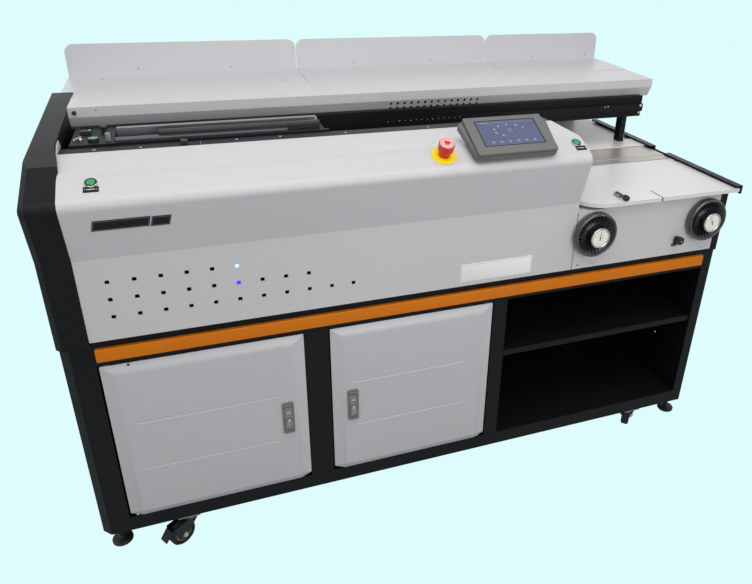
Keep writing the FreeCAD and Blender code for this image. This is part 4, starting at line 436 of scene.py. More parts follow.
# %% Assign the finishes
worn_by = {
    black_coat: ("left_side_frame", "right_side_frame", "bottom_tray", "centre_posts", "top_deck",
                 "back_panels", "bay_shelf", "left_side_cover", "right_end_cover",
                 "carriage_rails", "rear_beam", "clamp_carriage"),
    cover_coat: ("front_cover", "hand_wheel_panel", "top_shelf", "back_plates"),
    door_coat: ("left_door", "right_door"),
    table_coat: ("feed_table", "rear_table"),
    orange_coat: ("accent_strip",),
    nip_steel: ("nip_jaw_front", "nip_jaw_rear"),
    jaw_metal: ("rear_jaw",),
    dark_jaw_metal: ("front_jaw",),
    tank_metal: ("glue_tank", "glue_roller_first", "glue_roller_second"),
    zinc_plate: ("castor_plates", "front_lay_stop"),
    dark_steel: ("nip_platen", "side_guide"),
    cutter_steel: ("milling_cutter",),
    lock_steel: ("door_lock_left", "door_lock_right", "lock_lever_left", "lock_lever_right"),
    motor_enamel: ("milling_motor", "drive_motor"),
    castor_black: ("castor_forks_rear", "castor_fork_left", "castor_fork_right",
                   "brake_pedal_left", "brake_pedal_right"),
    black_abs: ("panel_bracket", "power_inlet", "levelling_feet", "jaw_guard_bar", "lock_knob",
                "button_collars"),
    gloss_resin: ("hand_wheel_left", "hand_wheel_right"),
    grey_abs: ("control_panel",),
    green_cap: ("start_cap_left", "start_cap_right"),
    red_nylon: ("estop_head",),
    rubber: ("castor_wheel_front_left", "castor_wheel_front_right", "castor_wheel_rear_left",
             "castor_wheel_rear_right"),
}


def wear(obj, material):
    """Give an object one finish, in every slot that its mesh has."""
    slots = obj.data.materials
    if not slots:
        slots.append(material)
    for number in range(len(slots)):
        slots[number] = material


for material, names in worn_by.items():
    for name in names:
        wear(nodes[name], material)
bare = sorted(set(nodes) - {name for names in worn_by.values() for name in names})
print("pieces without a finish:", bare)

# %% [markdown]
# ## Forms for the small pieces
# Screws, rings, bezels and plates are either cut from a plate or turned on a lathe, so two tools
# make nearly all of them. The first extrudes an outline and breaks its upper edge with a small
# bevel, because a sharp edge never catches light. Two short functions give the usual outlines.

# %% Plates and their outlines
def extruded(form, outline, low, high, bevel=0.0, shift=(0, 0), turn=0.0):
    """Add a plate of any outline to a form, from one height to another."""
    place = Matrix.Translation((*shift, 0)) @ Matrix.Rotation(math.radians(turn), 4, "Z")
    foot = [form.verts.new(place @ Vector((x, y, low))) for x, y in outline]
    head = [form.verts.new(place @ Vector((x, y, high))) for x, y in outline]
    form.faces.new(list(reversed(foot)))
    top = form.faces.new(head)
    count = len(outline)
    for number in range(count):
        following = (number + 1) % count
        form.faces.new((foot[number], foot[following], head[following], head[number]))
    if bevel:
        bmesh.ops.bevel(form, geom=list(top.edges), offset=bevel, segments=2, profile=0.5,
                        affect="EDGES")


def rounded(width, height, corner, steps=5):
    """Outline of a rectangle with round corners, about its middle."""
    corner = max(corner, 0.01)
    spots = []
    for side_x, side_y, start in ((1, 1, 0), (-1, 1, 90), (-1, -1, 180), (1, -1, 270)):
        for step in range(steps + 1):
            angle = math.radians(start + 90 * step / steps)
            spots.append((side_x * (width / 2 - corner) + corner * math.cos(angle),
                          side_y * (height / 2 - corner) + corner * math.sin(angle)))
    return spots


def regular(sides, radius, turn=0.0):
    """Outline with equal sides, such as a nut's."""
    angles = [2 * math.pi * number / sides + math.radians(turn) for number in range(sides)]
    return [(radius * math.cos(angle), radius * math.sin(angle)) for angle in angles]


print("points of a rounded outline:", len(rounded(20, 10, 2)))

# %% [markdown]
# ## Turned forms
# The second tool spins a half section about the upright axis, as a lathe would. Where the section
# touches the axis, its ring shrinks to one point. Finished forms can be merged into one piece.

# %% Turned forms
def lathed(form, section, steps=48, shift=(0, 0, 0)):
    """Spin a half section, given as radius and height, about the upright axis."""
    rings = []
    for radius, height in section:
        if radius < 1e-6:
            rings.append([form.verts.new(Vector((0, 0, height)) + Vector(shift))])
        else:
            rings.append([
                form.verts.new(Vector((radius * math.cos(2 * math.pi * n / steps),
                                       radius * math.sin(2 * math.pi * n / steps), height))
                               + Vector(shift)) for n in range(steps)])
    for lower, upper in zip(rings, rings[1:]):
        for n in range(steps):
            m = (n + 1) % steps
            corners = [lower[n % len(lower)], lower[m % len(lower)],
                       upper[m % len(upper)], upper[n % len(upper)]]
            kept = list(dict.fromkeys(corners))
            if len(kept) > 2:
                form.faces.new(kept)


def merge(whole, single):
    """Add a finished form to another one."""
    holder = bpy.data.meshes.new("holder")
    single.to_mesh(holder)
    single.free()
    whole.from_mesh(holder)
    bpy.data.meshes.remove(holder)


trial = bmesh.new()
lathed(trial, [(0, 2), (3, 1), (3, 0)], 12)
print("faces of a small turned cap:", len(trial.faces))
trial.free()

# %% [markdown]
# ## Places on the machine
# A form is drawn flat, about its own middle. A place then says where that middle lies, which way is
# right and which way is up on the surface, all in the machine's millimetres. The front cover has
# three surfaces that are used again and again: a slope on top, a leaning face and an upright one.

# %% Places and pieces
def surface(origin, right=(1, 0, 0), up=(0, 0, 1)):
    """A place on a flat surface: x runs right on it, y runs up and z points out of it."""
    right, up = Vector(right).normalized(), Vector(up).normalized()
    place = Matrix((right, up, right.cross(up))).transposed().to_4x4()
    place.translation = spot(*origin)
    return place


def piece(name, form, place, material, body="cabinet", crease=32):
    """Turn a form into an object at its place, with its finish, riding on one body."""
    bmesh.ops.recalc_face_normals(form, faces=form.faces)
    form.transform(Matrix.Scale(MM, 4))
    mesh = bpy.data.meshes.new(name)
    form.to_mesh(mesh)
    form.free()
    mesh.polygons.foreach_set("use_smooth", [True] * len(mesh.polygons))
    mesh.set_sharp_from_angle(angle=math.radians(crease))
    mesh.materials.append(material)
    obj = link(bpy.data.objects.new(name, mesh))
    obj.matrix_world = place
    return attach(obj, body)


def turned(name, section, place, material, body="cabinet", steps=48, crease=32):
    """A piece that is spun from one half section."""
    form = bmesh.new()
    lathed(form, section, steps)
    return piece(name, form, place, material, body, crease)


def cut(name, outline, levels, place, material, body="cabinet", bevel=0.0):
    """A piece that is cut from one plate, from its lower level to its upper one."""
    form = bmesh.new()
    extruded(form, outline, *levels, bevel)
    return piece(name, form, place, material, body)


def made(start):
    """Names of the objects so far that begin with these letters."""
    return [obj.name for obj in bpy.data.objects if obj.name.startswith(start)]


COVER_FACE = -16
LEAN_FOOT, LEAN_RISE, LEAN_REACH = 845, 147, 40
SLOPE_DEEP, COVER_TOP = 22, 1031
CARRIAGE_TOP = 1036
LEAN = (0, -LEAN_REACH, LEAN_RISE)
SLOPE = (0, 2, 1)
LEVEL = (0, 1, 0)


def on_slope(along, deep):
    """A place on the sloping top of the front cover, which rises one in two."""
    return surface((along, deep, COVER_TOP + (deep - SLOPE_DEEP) * 0.5), up=SLOPE)


def on_lean(along, high):
    """A place on the leaning face of the front cover."""
    return surface((along, COVER_FACE - LEAN_REACH * (high - LEAN_FOOT) / LEAN_RISE, high),
                   up=LEAN)


def on_face(along, high):
    """A place on the upright lower face of the front cover."""
    return surface((along, COVER_FACE, high))


print("one slope place:", on_slope(143, -1).translation)

# %% [markdown]
# ## Screws
# A domed socket screw is a shallow cap with a six-sided hole. Of a countersunk one only a nearly
# flat disc shows, and so it is the same head, made very low. At this size only the head shows, so
# no thread is made. The same head serves for every screw, in zinc, in brass or in black.

# %% Screw heads
SOCKET_SHARE, SOCKET_FLOOR, RIM_SHARE = 0.5, 0.3, 0.62


def screw(form, radius, height):
    """A domed head with a six-sided socket, added to a form."""
    section = [(radius, 0), (radius, height * 0.35), (radius * 0.86, height * 0.78),
               (radius * RIM_SHARE, height)]
    lathed(form, section, 24)
    hexagon = regular(6, radius * SOCKET_SHARE)
    outer = [form.verts.new((x, y, height)) for x, y in regular(24, radius * RIM_SHARE)]
    inner = [form.verts.new((x, y, height)) for x, y in hexagon]
    deep = [form.verts.new((x, y, height * SOCKET_FLOOR)) for x, y in hexagon]
    for n in range(6):
        m = (n + 1) % 6
        form.faces.new((inner[n], inner[m], deep[m], deep[n]))
        fan = [outer[(n * 4 + k) % 24] for k in range(5)]
        form.faces.new(fan + [inner[m], inner[n]])
    form.faces.new(deep)


def screws(name, places, material, body="cabinet", radius=3.2, height=1.8):
    """One piece that holds several screw heads, each given by its own place."""
    whole = bmesh.new()
    for place in places:
        single = bmesh.new()
        screw(single, radius, height)
        single.transform(Matrix.Scale(MM, 4))
        single.transform(place)
        merge(whole, single)
    home = places[0]
    whole.transform(home.inverted())
    whole.transform(Matrix.Scale(1 / MM, 4))
    return piece(name, whole, home, material, body)


SHELF_BACK, SHELF_HIGH = 865, 1088.1
shelf_rise = 9 / 389
screw_spots = [(119.4, 799.2), (634.4, 792.5), (842, 787.5), (1480, 800), (1700, 800),
               (1925, 800), (1180, 800)]
plate_screws = [surface((along, deep, SHELF_HIGH + (deep - SHELF_BACK) * shelf_rise),
                        up=(0, 1, shelf_rise)) for along, deep in screw_spots]
screws("shelf_plate_screws", plate_screws, zinc_plate, radius=3.0, height=1.2)
print("plate screws:", len(plate_screws))

# %% [markdown]
# ## Start buttons
# Each start button is a green cap in a round bezel: a black ring with a thin chrome rim, whose
# bowl guards the cap from an elbow. Under it is a black engraved plate. Its engraving is a plain
# bar between two dots here. The bezel is turned round the collar that the frame already has.

# %% Start buttons and their plates
engraving_white = moulded("white_engraving", "#D8DADB", 0.45, 2.0, 0.01)
matt_plate = moulded("matt_black_laminate", "#101012", 0.62, 1.2, 0.02, ior=1.35)


def start_button(side, along, deep, plate_along, plate_deep):
    """Bezel, chrome rim and engraved plate of one start button."""
    place = on_slope(along, deep)
    plate_place = on_slope(plate_along, plate_deep)
    engraved = (1.28, 1.36)
    turned(f"start_bezel_{side}", [(9.4, 4.6), (10.0, 5.5), (11.9, 5.6), (12.5, 5.1), (12.6, 3.0),
                                   (9.4, 3.0), (9.4, 4.6)], place, gloss_resin)
    turned(f"start_rim_{side}", [(12.6, 4.9), (13.2, 4.7), (13.9, 3.4), (14.2, 0.2), (13.1, 0.1),
                                 (12.6, 4.9)], place, chrome)
    cut(f"start_plate_{side}", rounded(31, 16.2, 1.2), (0.1, 1.3), plate_place, matt_plate,
        bevel=0.35)
    mark = bmesh.new()
    extruded(mark, rounded(17, 2.0, 0.8), *engraved)
    for dot in (-11.5, 11.5):
        extruded(mark, regular(16, 1.0), *engraved, shift=(dot, 0))
    piece(f"start_mark_{side}", mark, plate_place, engraving_white)


start_button("left", 143, -1, 142.7, -17.2)
start_button("right", 1356, -1, 1363, -18.6)
print("start buttons:", made("start_bezel"))

# %% [markdown]
# ## Emergency stop
# The red mushroom head stands on a yellow disc, so that a hand finds it without looking. The head
# is glossy nylon with a shallow dish on top, where three arrows show that it is turned to let go.
# A pale pink cap on the top of the head is a painted highlight, for the light that falls on it.
# The disc is enamelled and covers the flange of the switch, and a slim red ring stands on it under
# the head. The ring is narrower than the skirt, because the skirt comes down over it.

# %% Emergency stop dressing
def arc(radius, angles, flat=1.0):
    """Points on a round arc, or on a flattened one, at angles in degrees."""
    return [(radius * math.cos(math.radians(angle)), radius * flat * math.sin(math.radians(angle)))
            for angle in angles]


stop_place = on_slope(964, -5)
# Painted highlight: this pale pink stands for the light on the top of the glossy red head.
pink_top_highlight = moulded("pale_pink_painted_top_highlight", "#EDA49C", 0.22, 3.0, 0.01, coat=0.4)
turned("estop_yellow_disc", [(14.3, 2.05), (14.3, 2.9), (32.6, 2.9), (33.2, 2.5), (33.3, 0.2),
                             (32.0, 0.1), (32.0, 2.05), (14.3, 2.05)], stop_place, yellow_plate,
       steps=72)
arrows = bmesh.new()
for turn in (0, 120, 240):
    shaft = arc(8.6, range(0, 76, 15)) + arc(10.4, range(75, -1, -15))
    extruded(arrows, shaft, 43.6, 44.5, turn=turn)
    tip = arc(6.9, (76,)) + arc(12.1, (76,)) + arc(9.5, (102,))
    extruded(arrows, tip, 43.6, 44.5, turn=turn)
piece("estop_arrows", arrows, stop_place, engraving_white, "emergency_stop")
# Painted highlight: a pale pink cap on the head's top, where light falls on the glossy red.
turned("estop_top_lens", [(19.6, 42.4), (18.8, 44.2), (17.0, 44.9), (14.4, 45.0), (13.2, 44.1),
                          (0, 43.7)], stop_place, pink_top_highlight, "emergency_stop", steps=64)
turned("estop_skirt", [(15.2, 11.4), (16.2, 11.2), (17.0, 12.0), (21.2, 38.6), (21.0, 41.0),
                       (20.2, 41.6), (20.2, 23.0), (15.4, 16.0), (15.2, 11.4)], stop_place,
       red_nylon, "emergency_stop", steps=64)
turned("estop_base_ring", [(14.05, 2.9), (14.9, 2.9), (14.8, 10.6), (14.05, 10.8), (14.05, 2.9)],
       stop_place, red_nylon, steps=64)
print("stop at", [round(v, 3) for v in stop_place.translation])

# %% [markdown]
# ## Figures for the dials
# The dials carry plain figures. A text object is a curve with a typeface, so it is turned into a
# thin flat mesh here, and can then ride on its wheel as any other piece does.

# %% Dial finishes and figures
# Painted highlight: the rim's resin is a lighter grey than the dish's, for the light on the rim.
rim_highlight_resin = moulded("phenolic_resin_painted_rim_highlight", "#3A3A3C", 0.20, 5.0, 0.02, coat=0.5, ior=1.6)
dish_resin = moulded("ribbed_black_phenolic_resin", "#0D0D0F", 0.26, 4.0, 0.02, coat=0.2, ior=1.6)
dial_card = moulded("cream_dial_card", "#F3EFE6", 0.50, 1.5, 0.01)
dial_ink = moulded("black_dial_ink", "#141414", 0.55, 1.5, 0.005)
hand_red = moulded("red_lacquer", "#B0301C", 0.35, 2.0, 0.01)


def lettering(name, words, height, place, x, y, material, body, lift):
    """Plain figures as thin flat shapes, centred on a spot of a surface."""
    curve = bpy.data.curves.new(name, "FONT")
    curve.body = words
    curve.size = height / 0.7 * MM
    curve.align_x = "CENTER"
    curve.align_y = "CENTER"
    curve.resolution_u = 3
    holder = bpy.data.objects.new(name, curve)
    link(holder)
    bpy.context.view_layer.update()
    mesh = bpy.data.meshes.new_from_object(
        holder.evaluated_get(bpy.context.evaluated_depsgraph_get()))
    bpy.data.objects.remove(holder)
    mesh.materials.clear()
    mesh.materials.append(material)
    obj = link(bpy.data.objects.new(name, mesh))
    obj.matrix_world = place @ Matrix.Translation(Vector((x, y, lift)) * MM)
    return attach(obj, body)


print("dial finishes:", dial_card.name, dial_ink.name, hand_red.name)

# %% [markdown]
# ## Hand wheels
# Both hand wheels are pressed from glossy phenolic resin: a fat polished rim, a black dish with
# fine radial ribs for stiffness, and a boss that holds a dial. The rim is a lighter grey than the
# dish, a painted highlight for the light that the round rim catches on the same black resin. Rim
# and dish are turned, and the ribs are thin plates that stand in the dish. The frame's wheel is a
# solid with the same outline, and the dressed wheel stands in its place.

# %% Rim, dish and ribs
WHEEL_HIGH = 745


def wheel_body(side, place, body):
    """Rim, dish and ribs of one hand wheel."""
    # The rim wears the resin with the painted highlight.
    wheel = turned(f"wheel_rim_{side}", [(54.0, 2.0), (63.0, 2.1), (67.5, 4.2), (69.6, 8.0),
                                         (70.0, 13.0), (69.7, 19.0), (68.6, 23.2), (66.6, 25.5),
                                         (64.2, 26.0), (62.2, 25.3), (60.9, 23.6), (60.2, 21.2),
                                         (59.2, 20.0)], place, rim_highlight_resin, body, steps=96,
                   crease=50)
    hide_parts(f"hand_wheel_{side}")
    dish = bmesh.new()
    lathed(dish, [(60.4, 20.6), (57.0, 17.0), (50.0, 14.6), (42.0, 14.6), (36.0, 16.4),
                  (33.4, 19.0), (32.2, 24.0), (31.6, 30.0), (31.0, 41.6), (30.6, 42.6)], 96)
    lathed(dish, [(8.0, -20), (8.0, 2.4), (54.2, 2.2)], 48)
    piece(f"wheel_dish_{side}", dish, place, dish_resin, body, crease=50)
    ribs = bmesh.new()
    for turn in range(0, 360, 12):
        rib = [(34.6, -0.55), (58.6, -0.8), (58.6, 0.8), (34.6, 0.55)]
        extruded(ribs, rib, 13.4, 19.4, 0.3, turn=turn)
    piece(f"wheel_ribs_{side}", ribs, place, dish_resin, body)


for side, along in (("left", 1443), ("right", 1848)):
    wheel_body(side, surface((along, COVER_FACE, WHEEL_HIGH)), f"wheel_{side}")
print("wheels dressed:", made("wheel_rim"))

# %% [markdown]
# ## Dials
# The dial counts the turns of its wheel: a cream card under a chrome ring, with ten numbers, fifty
# ticks and one red-tipped hand. Ticks and figures stand less than a tenth of a millimetre proud of
# the card, as thick ink would, and so they are real shapes that look right from close by.

# %% Dials
CARD = 41.6
INK = 41.68


def dial(side, place, body, reading):
    """Ring, card, ticks, figures and hand of one dial."""
    turned(f"dial_ring_{side}", [(31.2, 40.4), (31.2, 42.6), (30.7, 43.7), (29.6, 44.0),
                                 (27.9, 43.7), (27.2, 42.6), (27.2, 41.2), (31.0, 40.4)], place,
           chrome, body, steps=72, crease=60)
    turned(f"dial_card_{side}", [(0, CARD), (27.4, CARD), (27.4, 40.9), (0, 40.9)], place,
           dial_card, body, steps=72)
    ink = bmesh.new()
    for number in range(50):
        long_tick = number % 5 == 0
        start = 22.4 if long_tick else 24.2
        half = 0.36 if long_tick else 0.18
        tick = [(start, -half), (26.2, -half), (26.2, half), (start, half)]
        extruded(ink, tick, CARD, INK, turn=number * 7.2)
    lathed(ink, [(26.2, CARD), (26.2, INK), (26.6, INK), (26.6, CARD)], 72)
    lathed(ink, [(9.4, CARD), (9.4, INK), (9.8, INK), (9.8, CARD)], 48)
    piece(f"dial_ticks_{side}", ink, place, dial_ink, body)
    for number in range(10):
        angle = math.radians(90 - number * 36)
        lettering(f"dial_figure_{side}_{number}", str(number), 4.0, place,
                  18.6 * math.cos(angle), 18.6 * math.sin(angle), dial_ink, body, 41.66)
    hand = bmesh.new()
    extruded(hand, [(-1.0, -8), (1.0, -8), (0.7, 6), (0.3, 15.5), (-0.3, 15.5), (-0.7, 6)],
             42.1, 42.45, turn=reading)
    lathed(hand, [(2.4, CARD), (2.4, 42.7), (1.8, 43.0), (0, 43.0)], 24)
    piece(f"dial_hand_{side}", hand, place, dial_ink, body)
    tip = bmesh.new()
    extruded(tip, [(-0.7, 9.0), (0.7, 9.0), (0.25, 21.5), (-0.25, 21.5)], 42.15, 42.5,
             turn=reading)
    piece(f"dial_hand_tip_{side}", tip, place, hand_red, body)


for side, along, reading in (("left", 1443, -6), ("right", 1848, 22)):
    dial(side, surface((along, COVER_FACE, WHEEL_HIGH)), f"wheel_{side}", reading)
# Painted glint: a small white dot on the top of the left wheel's rim, where light catches it.
dot = bmesh.new()
lathed(dot, [(0, 25.9), (1.5, 26.05), (1.6, 25.4)], 20, (10, 63.6, 0))
piece("wheel_index_dot", dot, surface((1443, COVER_FACE, WHEEL_HIGH)), engraving_white,
      "wheel_left")
print("figures on the dials:", len(made("dial_figure")))

# %% [markdown]
# ## Small marks and the lock knob's bracket
# Under each wheel is a thin grey arc that shows which way to turn it, and beside the left one sits
# a small blue pilot dot. The lobed lock knob clamps the right wheel's shaft through a little black
# bracket that is screwed to the sheet. The knob itself has a bright screw in its middle.

# %% Marks, pilot dot and bracket
pilot_blue = moulded("blue_pilot_lens", "#1F3FA8", 0.18, 2.0, 0.01, coat=0.4)
mark_grey = moulded("grey_screen_print", "#8A8B8F", 0.50, 2.0, 0.005)


def turn_mark(name, along, high):
    """A flat arc with an arrow head at both ends."""
    mark = bmesh.new()
    bow = arc(9.0, range(200, 341, 14), 6.2 / 9.0) + arc(10.6, range(340, 199, -14), 7.6 / 10.6)
    extruded(mark, bow, 0.0, 0.12)
    extruded(mark, [(8.0, -2.6), (12.6, -2.6), (10.8, 1.4)], 0.0, 0.12)
    extruded(mark, [(-8.0, -2.6), (-12.6, -2.6), (-10.8, 1.4)], 0.0, 0.12)
    piece(name, mark, on_face(along, high), mark_grey)


turn_mark("turn_mark_left", 1455, 648)
turn_mark("turn_mark_right", 1869, 645)
turned("pilot_dot", [(2.6, 0), (2.5, 0.9), (1.6, 1.5), (0, 1.7)], on_face(1405, 642), pilot_blue,
       steps=24)
bracket = bmesh.new()
extruded(bracket, rounded(19, 8, 1.0), 0, 3.2, 0.5, shift=(0, -26))
extruded(bracket, rounded(7, 11, 0.8), 0, 2.4, 0.4, shift=(0, -17))
piece("knob_bracket", bracket, on_face(1753, 690), black_abs)
screws("knob_bracket_screws", [surface((1747, -19.1, 664)), surface((1759, -19.1, 664))],
       zinc_plate, radius=1.5, height=0.7)
# Painted shade: a flat black disc for the dark inside of a small hole in the sheet.
turned("knob_side_hole", [(1.6, 0.05), (0, 0.05)], on_face(1779, 667), black_abs, steps=20)
screws("lock_knob_screw", [surface((1757, -42.8, 685))], zinc_plate, "knob", 3.0, 1.2)
print("marks:", made("turn_mark"))

# %% [markdown]
# ## Touch panel
# The operator reads a touch screen: a sheet of glass, bonded flush into the bezel over a backlit
# picture. Glass over a dim picture looks like a dark bluish mirror, so the sheet is a glossy
# slate-blue plastic film under a clear coat. The picture holds plain shapes only: keys with round
# corners, a few fields, dots and lines. A black border round it is painted shade, for the shade
# that the bezel's edge casts on the glass.

# %% Screen
screen_film = moulded("backlit_screen_film", "#565B7A", 0.16, 8.0, 0.005, coat=0.6)
icon_film = moulded("pale_icon_film", "#8F98AE", 0.30, 4.0, 0.005)
key_film = moulded("grey_key_film", "#62688A", 0.30, 4.0, 0.005)
panel_place = surface((1154, 6.5, 1063.6), up=SLOPE)
FIELDS = (-0.31, -0.24)
ICONS = (-0.25, -0.19)
key_spots = [(-60 + number * 24, -34) for number in range(6)]

# Painted shade: a black plate round the film, for the shade of the bezel's edge.
cut("screen_border", rounded(176.6, 97.6, 1.5), (-0.98, -0.42), panel_place, black_acrylic_edge_shade)
cut("screen_film", rounded(170.5, 92.5, 0.8), (-0.6, -0.30), panel_place, screen_film)
keys = bmesh.new()
for key_spot in key_spots:
    extruded(keys, rounded(13, 10, 2), *FIELDS, shift=key_spot)
extruded(keys, rounded(160, 7, 1.0), *FIELDS, shift=(0, 40))
lathed(keys, [(23.0, -0.30), (23.0, -0.24), (24.2, -0.24), (24.2, -0.30)], 64, (2, 6, 0))
piece("screen_fields", keys, panel_place, key_film)
icons = bmesh.new()
for number, key_spot in enumerate(key_spots):
    extruded(icons, regular(5 + number % 3, 3.4, 18), *ICONS, shift=key_spot)
for number in range(7):
    angle = math.radians(20 + number * 36)
    extruded(icons, regular(6 + number % 2 * 14, 3.6), *ICONS,
             shift=(2 + 44 * math.cos(angle), 8 + 24 * math.sin(angle) * 0.9))
for number, length in enumerate((16, 11, 14)):
    extruded(icons, rounded(length, 1.5, 0.5), *ICONS, shift=(2, 12 - number * 6))
extruded(icons, rounded(22, 1.8, 0.5), *ICONS, shift=(-62, 40))
piece("screen_icons", icons, panel_place, icon_film)
# Depth and height of a step of one up the slope, and of the panel's back behind its screen.
UP_DEEP, UP_HIGH = 0.8944, 0.4472
BACK_DEEP, BACK_HIGH = 13.42, -26.83
screws("panel_back_screws", [
    surface((1154 + x, 6.5 + BACK_DEEP + y * UP_DEEP, 1063.6 + BACK_HIGH + y * UP_HIGH),
            right=(-1, 0, 0), up=SLOPE) for x, y in ((-80, 50), (80, 50))],
    black_abs, radius=2.6, height=0.6)
print("screen pieces:", made("screen_"))

# %% [markdown]
# ## Bare name plates
# A sheet-metal cover has places for plates: two slanted black ones on the leaning face and one
# pale one low on the front. The black ones are matt laminate and the pale one is acrylic, each
# little more than a millimetre thick. They stay bare, and a thin line runs round each, as on a
# plate that waits for its words.

# %% Plates
LINE_WIDE, LINE_INSET = 0.7, 2.2


def plate(name, outline, place, material, thick=1.2):
    """A thin plate with a narrow line round it, a little inside its edge."""
    cut(name, outline, (0.05, thick), place, material, bevel=0.3)
    half_x = max(x for x, y in outline)
    half_y = max(y for x, y in outline)
    ring = bmesh.new()
    outer, inner = ([(x * (1 - inset / half_x), y * (1 - inset / half_y)) for x, y in outline]
                    for inset in (LINE_INSET, LINE_INSET + LINE_WIDE))
    for number in range(len(outline)):
        following = (number + 1) % len(outline)
        side = [outer[number], outer[following], inner[following], inner[number]]
        extruded(ring, side, thick - 0.02, thick + 0.06)
    piece(name + "_line", ring, place, mark_grey)


plate("badge_plate_wide", [(62.1, 13.4), (-56.2, 13.6), (-62.3, -13.6), (56.4, -13.4)],
      on_lean(192, 935.5), matt_plate)
plate("badge_plate_narrow", [(23.6, 13.2), (-17.0, 13.4), (-23.6, -13.4), (17.2, -13.2)],
      on_lean(274, 934), matt_plate)
plate("pale_front_plate", rounded(224, 57, 2.0, 3), on_face(1135, 669.5), white_acrylic,
      thick=1.4)
print("plates:", made("badge_plate") + made("pale_front"))

# %% [markdown]
# ## The left end of the front cover
# The tall side cover narrows towards the back, and the front cover follows it with a small folded
# return, so that no hand reaches in. A standing ear closes the corner beside the clamp channel.
# Both are plain folded sheet in the colour of the cover.

# %% Return and ear
flat_rise = 2 / 168
cut("cover_left_return", [(10.6, -62), (10.6, 70), (-9.3, 70), (-8.7, 66), (10.2, -62)],
    (-2.5, 0.0), surface((64, 120, COVER_TOP + 98 * flat_rise), up=(0, 1, flat_rise)), cover_coat)
cut("cover_corner_ear", [(-39, 0), (39, 0), (35, 9), (22, 22), (-13, 19), (-37, 5)], (0.0, 1.5),
    surface((55.3, 221, 1031.2), right=(0, 1, 0)), cover_coat, bevel=0.3)
print("the corner:", made("cover_"))

# %% [markdown]
# ## Lamps behind the vents
# Two blue lamps shine through two of the square vent holes. A lamp seen through a hole is a small
# bright square with a paler middle, so each is a lens just behind the sheet that gives off light
# of its own. The light is kept low, because a lamp that is too bright loses its colour.

# %% Vent lamps
def lit_lens(name, hex_value, strength, whiter):
    """A lens that gives off light, paler in its middle than at its edge."""
    material, tree, shader, place = new_finish(name, Emission_Strength=strength)
    glow = add(tree, "TexGradient", {"Vector": add(tree, "Mapping", {
        "Vector": place, "Scale": (per_mm(6), per_mm(6), per_mm(6))}).outputs[0]},
        gradient_type="SPHERICAL")
    base = colour(hex_value)
    pale = [min(channel * 1.4 + whiter, 1.0) for channel in base[:3]] + [1.0]
    tone = add(tree, "Mix", {0: glow.outputs["Fac"], 6: base, 7: pale}, data_type="RGBA")
    feed(tree, shader, Base_Color=tone.outputs[2], Emission_Color=tone.outputs[2])
    return material


pale_lens = lit_lens("pale_blue_lit_lens", "#7FA2FF", 1.0, 0.35)
deep_lens = lit_lens("deep_blue_lit_lens", "#2A1FE0", 0.9, 0.02)
for name, high, material in (("vent_lamp_upper", 784.2, pale_lens),
                             ("vent_lamp_lower", 738.1, deep_lens)):
    cut(name, rounded(9.7, 9.7, 0.6), (-2.2, -0.5), on_face(427.3, high), material, bevel=0.3)
print("vent lamps:", made("vent_lamp"))

# %% [markdown]
# ## Beam, post and end bolts
# The rear beam carries small bright set screws in a row of holes, a little perforated sound
# opening with two lamps, and two bolts at its right end. The opening's holes are flat black dots of
# painted shade. The post that carries the shelf is a slotted strut: its slots and its bright cut
# edge show from the front. A slot this small reads as a dark patch, so each is a thin dark shape
# of painted shade on the post and the frame's solid stays whole.

# %% Beam and post
RAIL_FACE = 430
POST_PITCH = 24.0
bright_zinc = plated_metal("bright_zinc_plate", "#D2D3D4", 0.24, 8, 0.06)
dots = bmesh.new()
for number in range(14):
    lathed(dots, [(1.75, -1.0), (1.75, 0.25), (1.3, 0.45), (0, 0.45)], 16, (18.75 * number, 0, 0))
piece("rail_set_screws", dots, surface((945.7, RAIL_FACE, 994.3)), bright_zinc)
# Painted shade: each hole of the sound opening is a flat black dot.
grille = bmesh.new()
for row in range(3):
    for number in range(9):
        lathed(grille, [(1.0, 0), (0, 0.12)], 10, (number * 4.4 - 17.6, row * 4.4 - 4.4, 0))
piece("rail_grille", grille, surface((1738, RAIL_FACE, 994)), black_abs)
screws("rail_lamps", [surface((1741.7, RAIL_FACE, 997)), surface((1753.9, RAIL_FACE, 998))],
       bright_zinc, radius=2.4, height=0.6)
screws("beam_end_bolts", [surface((1890, RAIL_FACE, 995)), surface((1901, 449, 964.5))],
       bright_zinc, radius=5.2, height=3.0)
# Painted shade: each slot is a thin dark shape on the post, not a hole.
front_slots = bmesh.new()
for step in range(6):
    extruded(front_slots, rounded(7.0, 15.0, 3.4), 0.02, 0.3, shift=(-3.2, step * POST_PITCH))
piece("post_slots", front_slots, surface((1877, 495, 872)), black_abs)
cut("post_bright_edge", rounded(1.8, 208, 0.6), (0.0, 0.7), surface((1887, 495, 954)), bright_zinc,
    bevel=0.2)
# Painted shade: the same dark shapes for the slots on the post's side.
side_slots = bmesh.new()
for step in range(6):
    extruded(side_slots, rounded(7.0, 15.0, 3.4), 0.02, 0.3, shift=(0, step * POST_PITCH))
piece("post_side_slots", side_slots, surface((1888.5, 510, 872), right=(0, 1, 0)), black_abs)
print("beam and post:", made("rail_") + made("post_"))

# %% [markdown]
# ## Screws of the sheets
# A shelf and a table are held by countersunk screws, and their bright heads are what tells the eye
# how large a plain sheet is. They sit where a fitter can reach them: near the folds. Those on the
# sides and the back are sunk a little, so that they don't make the machine larger.

